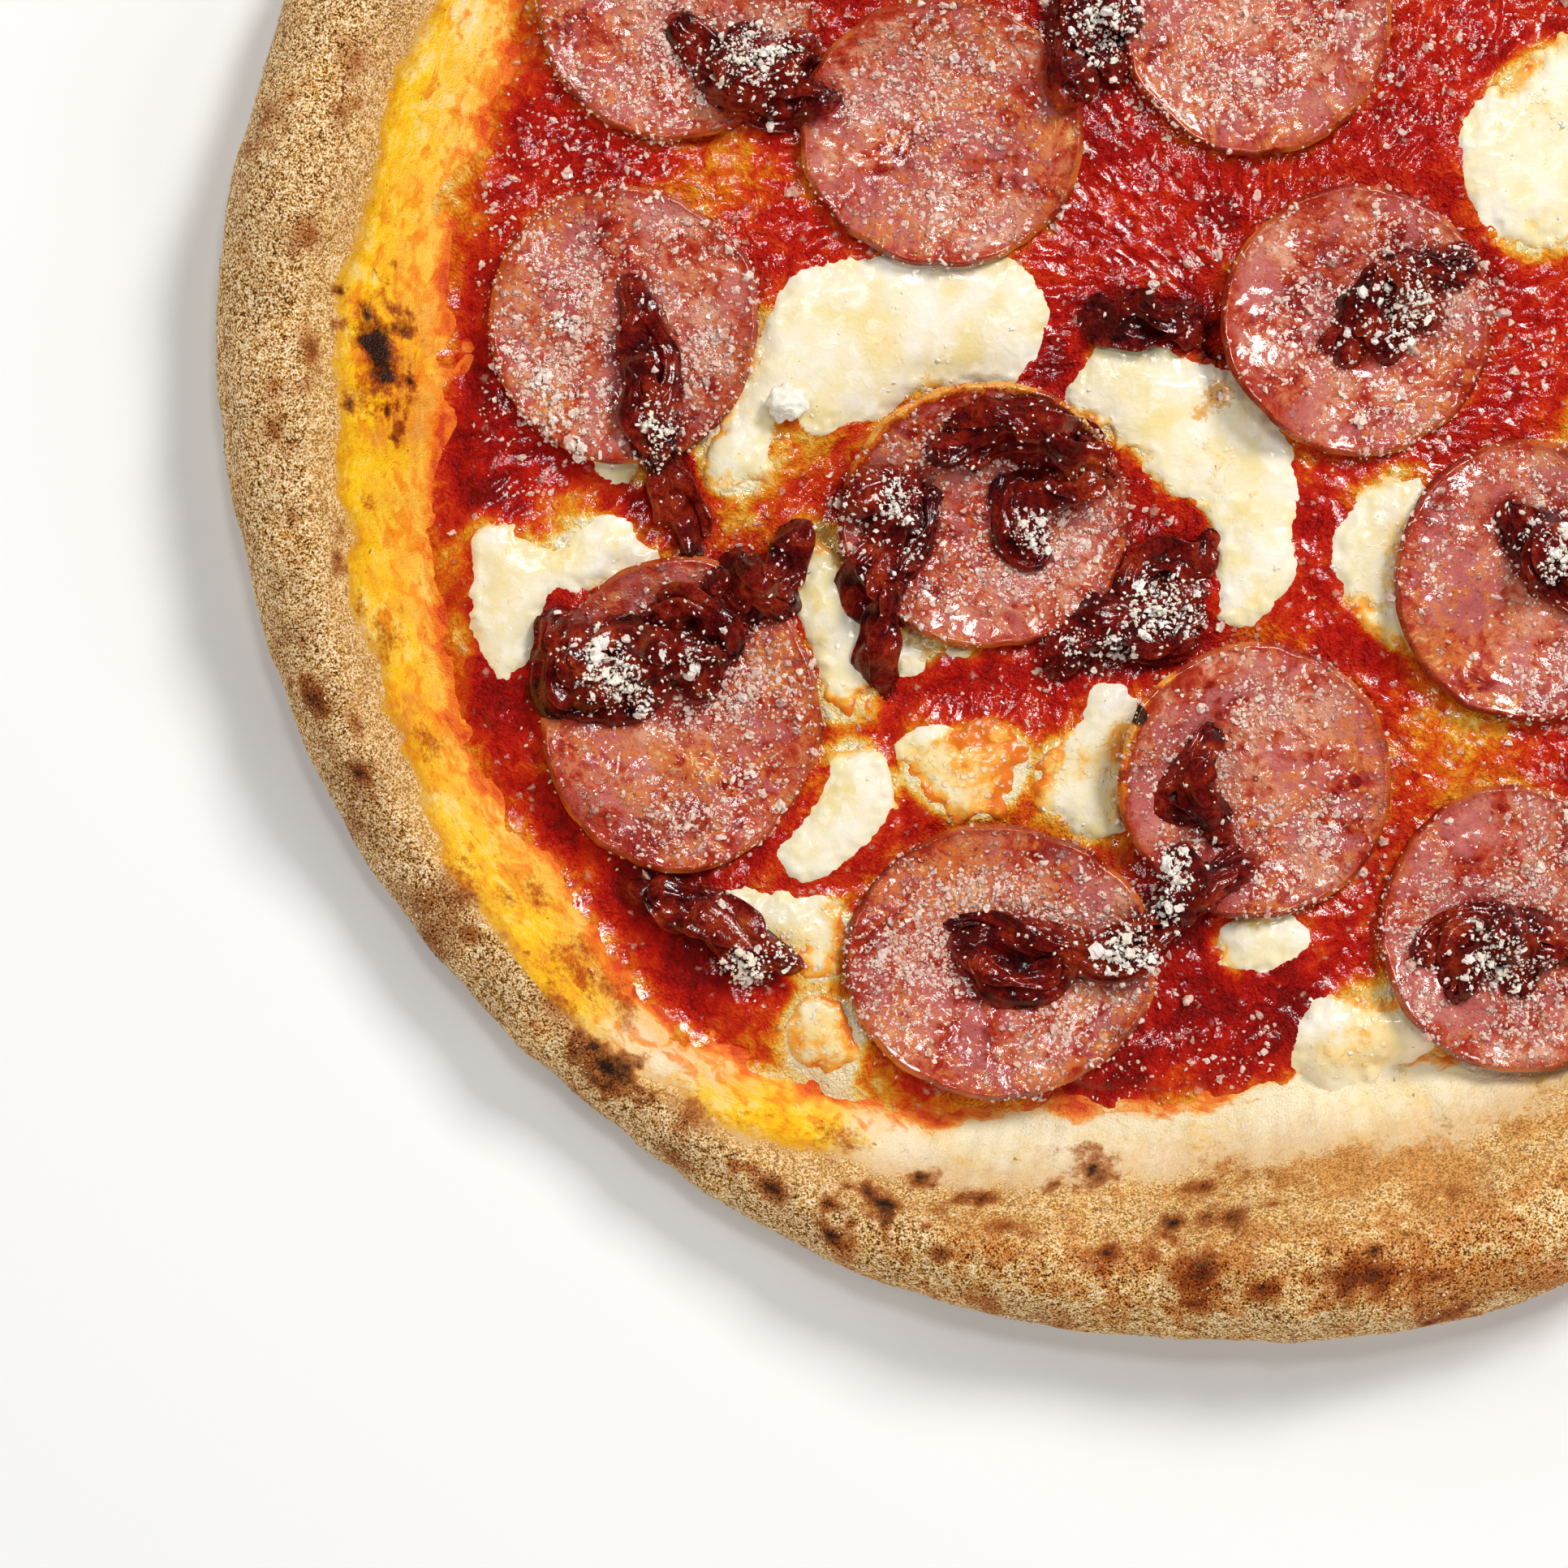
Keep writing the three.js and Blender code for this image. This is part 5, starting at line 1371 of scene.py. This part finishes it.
def make_grated(material, relief, owners):
    """Kinds of grain: shape, count, sizes, crowding on each ground, looseness, and how high they pile up."""
    rng = np.random.RandomState(77)
    fine = (OCTAHEDRON, 21000, (0.28, 0.7), (0, 0.08, 0.01, 0.7, 0.06), 0.9, 1.0)
    kinds = {
        "grated_fine_1": fine,
        "grated_fine_2": fine,
        "grated_crumbs": (solid_shape(1), 9900, (0.5, 1.0), (0, 0.15, 0.01, 0.7, 0.05), 0.9, 1.2),
        "grated_lumps": (solid_shape(2), 1300, (0.8, 1.6), (0, 0.3, 0.02, 0.4, 0.05), 0.6, 1.0),
    }
    for name, (shape, count, sizes, crowding, loose, pile) in kinds.items():
        found = scatter_places(count, rng, relief, owners, crowding, loose)
        owner, lumpy = found[:, 3].astype(int), found[:, 4]
        sizes = between(*sizes, rng.uniform(0, 1, count) ** 1.6)
        places = found[:, :3]
        places[:, 2] += sizes * np.where(owner == ON_ONION, 0.1, -0.1)
        places[:, 2] += pile * lumpy * rng.uniform(0, 1, count) ** 1.5
        tints = grain_tints(owner, lumpy, rng)
        strew(name, shape, places, sizes, tints, material, rng)


def make_large_crumb(material, relief):
    x, y, radius = LARGE_CRUMB
    points, faces = solid_shape(4)
    points = points * 2 * radius
    points *= (1 + rough(points, (0.26, 1.8, 91), (0.2, 0.8, 92), (0.1, 0.4, 93)))[:, None]
    base = relief.at(np.array([[x, y]]))[0]
    points = points * [1, 0.95, 0.8] + [x, y, base + 0.55 * radius]
    marks = {"tint": np.tile(rgb("f6efdc"), (len(points), 1))}
    make_piece("grated_large", points, faces, material, marks=marks)


def make_semolina(material, crust_points, crust_normals, floury):
    """Coarse flour baked onto the outside of the rim."""
    rng = np.random.RandomState(99)
    chosen = rng.choice(np.flatnonzero(floury), SEMOLINA_GRAINS)
    jitter = rng.normal(0, 0.35, (SEMOLINA_GRAINS, 3))
    normals = crust_normals[chosen]
    jitter -= normals * (jitter * normals).sum(axis=1, keepdims=True)
    sizes = rng.uniform(0.22, 0.5, SEMOLINA_GRAINS)
    light, dark = np.array(rgb("fadaa2")), np.array(rgb("8e5520"))
    tints = between(dark, light, rng.uniform(0, 1, (SEMOLINA_GRAINS, 1)) ** 0.7)
    strew("semolina", OCTAHEDRON, crust_points[chosen] + jitter, sizes, tints, material, rng)


# ---- Putting it together ----

crust_material = crust_finish()
tomato_material = tomato_finish()
cheese_material = cheese_finish()
salami_material = salami_finish()
onion_material = onion_finish()
grated_material = grated_finish()

names = sorted(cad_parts)
cheese_names, salami_names, onion_names = (
    [name for name in names if name.startswith(kind)] for kind in ("cheese", "salami", "onion"))
slice_places = [middle_and_half(name) for name in salami_names]
onion_near = onion_grid(onion_names)

crust_points, crust_normals, floury = make_crust(crust_material)
cheese_outlines = {name: solid_outline(name) for name in cheese_names}
make_sauce(tomato_material, list(cheese_outlines.values()))

# The height of the filling's top, and what lies there.
relief = whole_grid()
relief = relief.like(sauce_height(relief.places()))
radius, angle = polar(relief.places())
owners = relief.like(np.where(radius < sauce_edge(angle) - 0.5, float(ON_SAUCE), 0.0))


def lay(kind, make, material, pieces):
    """Makes pieces one after another, and marks where they are on top."""
    before = relief.values.copy()
    for piece in pieces:
        make(*piece, material, relief)
    owners.values[relief.values > before + 0.15] = kind


lay(ON_CHEESE, make_cheese, cheese_material, cheese_outlines.items())
lay(ON_SALAMI, make_slice, salami_material, zip(salami_names))
heap_rng = np.random.RandomState(3)
heaps = LAID_HEAPS + [tangled_strips(*heap, heap_rng) for heap in TANGLED_HEAPS]
lay(ON_ONION, make_heap, onion_material, zip(onion_names, heaps))
make_grated(grated_material, relief, owners)
make_large_crumb(grated_material, relief)
make_semolina(grated_material, crust_points, crust_normals, floury)

# ---- Floor, light and camera ----

HALF_FLOOR = 3.0
FOCUS = np.array([-65.54, -66.27, 6.0]) * MM
# The photograph's whole frame is 234.9 mm wide at the filling, seen from a metre above.
FRAME_WIDTH = 0.2349
CAMERA_DISTANCE = 1.0
SENSOR_WIDTH = 36

floor_mesh = bpy.data.meshes.new("floor")
corners = [(-HALF_FLOOR, -HALF_FLOOR, 0), (HALF_FLOOR, -HALF_FLOOR, 0), (HALF_FLOOR, HALF_FLOOR, 0),
           (-HALF_FLOOR, HALF_FLOOR, 0)]
floor_mesh.from_pydata(corners, [], [(0, 1, 2, 3)])
floor = linked("floor", floor_mesh)
floor_finish = Finish("floor", 0.9, 0.2)
floor_finish.set("Base Color", "f2f2f0")
floor_mesh.materials.append(floor_finish.material)


def add_light(name, offset, size, power, colour=(1, 1, 1)):
    """A square light, offset from the part that the camera looks at, and turned towards it."""
    light = bpy.data.lights.new(name, "AREA")
    light.size = size
    light.energy = power
    light.color = colour
    lamp = linked(name, light)
    lamp.location = FOCUS + np.array(offset)
    direction = -np.array(offset) / np.linalg.norm(offset)
    yaw = math.atan2(direction[1], direction[0]) - math.pi / 2
    lamp.rotation_euler = (math.acos(-direction[2]), 0, yaw)
    return lamp


add_light("key", (0.72, 0.82, 1.02), 0.42, 16.6, (1.0, 0.985, 0.96))
add_light("top", (0.12, 0.42, 1.38), 0.18, 3.0)
for side in (140, 235, 330):
    turn = math.radians(side)
    fill = add_light(f"fill_{side}", (1.3 * math.cos(turn), 1.3 * math.sin(turn), 0.8), 0.9, 7.7)
    fill.visible_glossy = False

world = bpy.data.worlds.new("studio")
world.use_nodes = True
background = world.node_tree.nodes["Background"]
background.inputs["Color"].default_value = (1, 1, 1, 1)
background.inputs["Strength"].default_value = 0.03
bpy.context.scene.world = world

camera_data = bpy.data.cameras.new("camera")
camera_data.sensor_width = SENSOR_WIDTH
camera_data.lens = SENSOR_WIDTH * CAMERA_DISTANCE / FRAME_WIDTH
camera = linked("camera", camera_data)
camera.location = FOCUS + np.array([0, 0, CAMERA_DISTANCE])
bpy.context.scene.camera = camera
bpy.context.scene.view_settings.view_transform = "Standard"
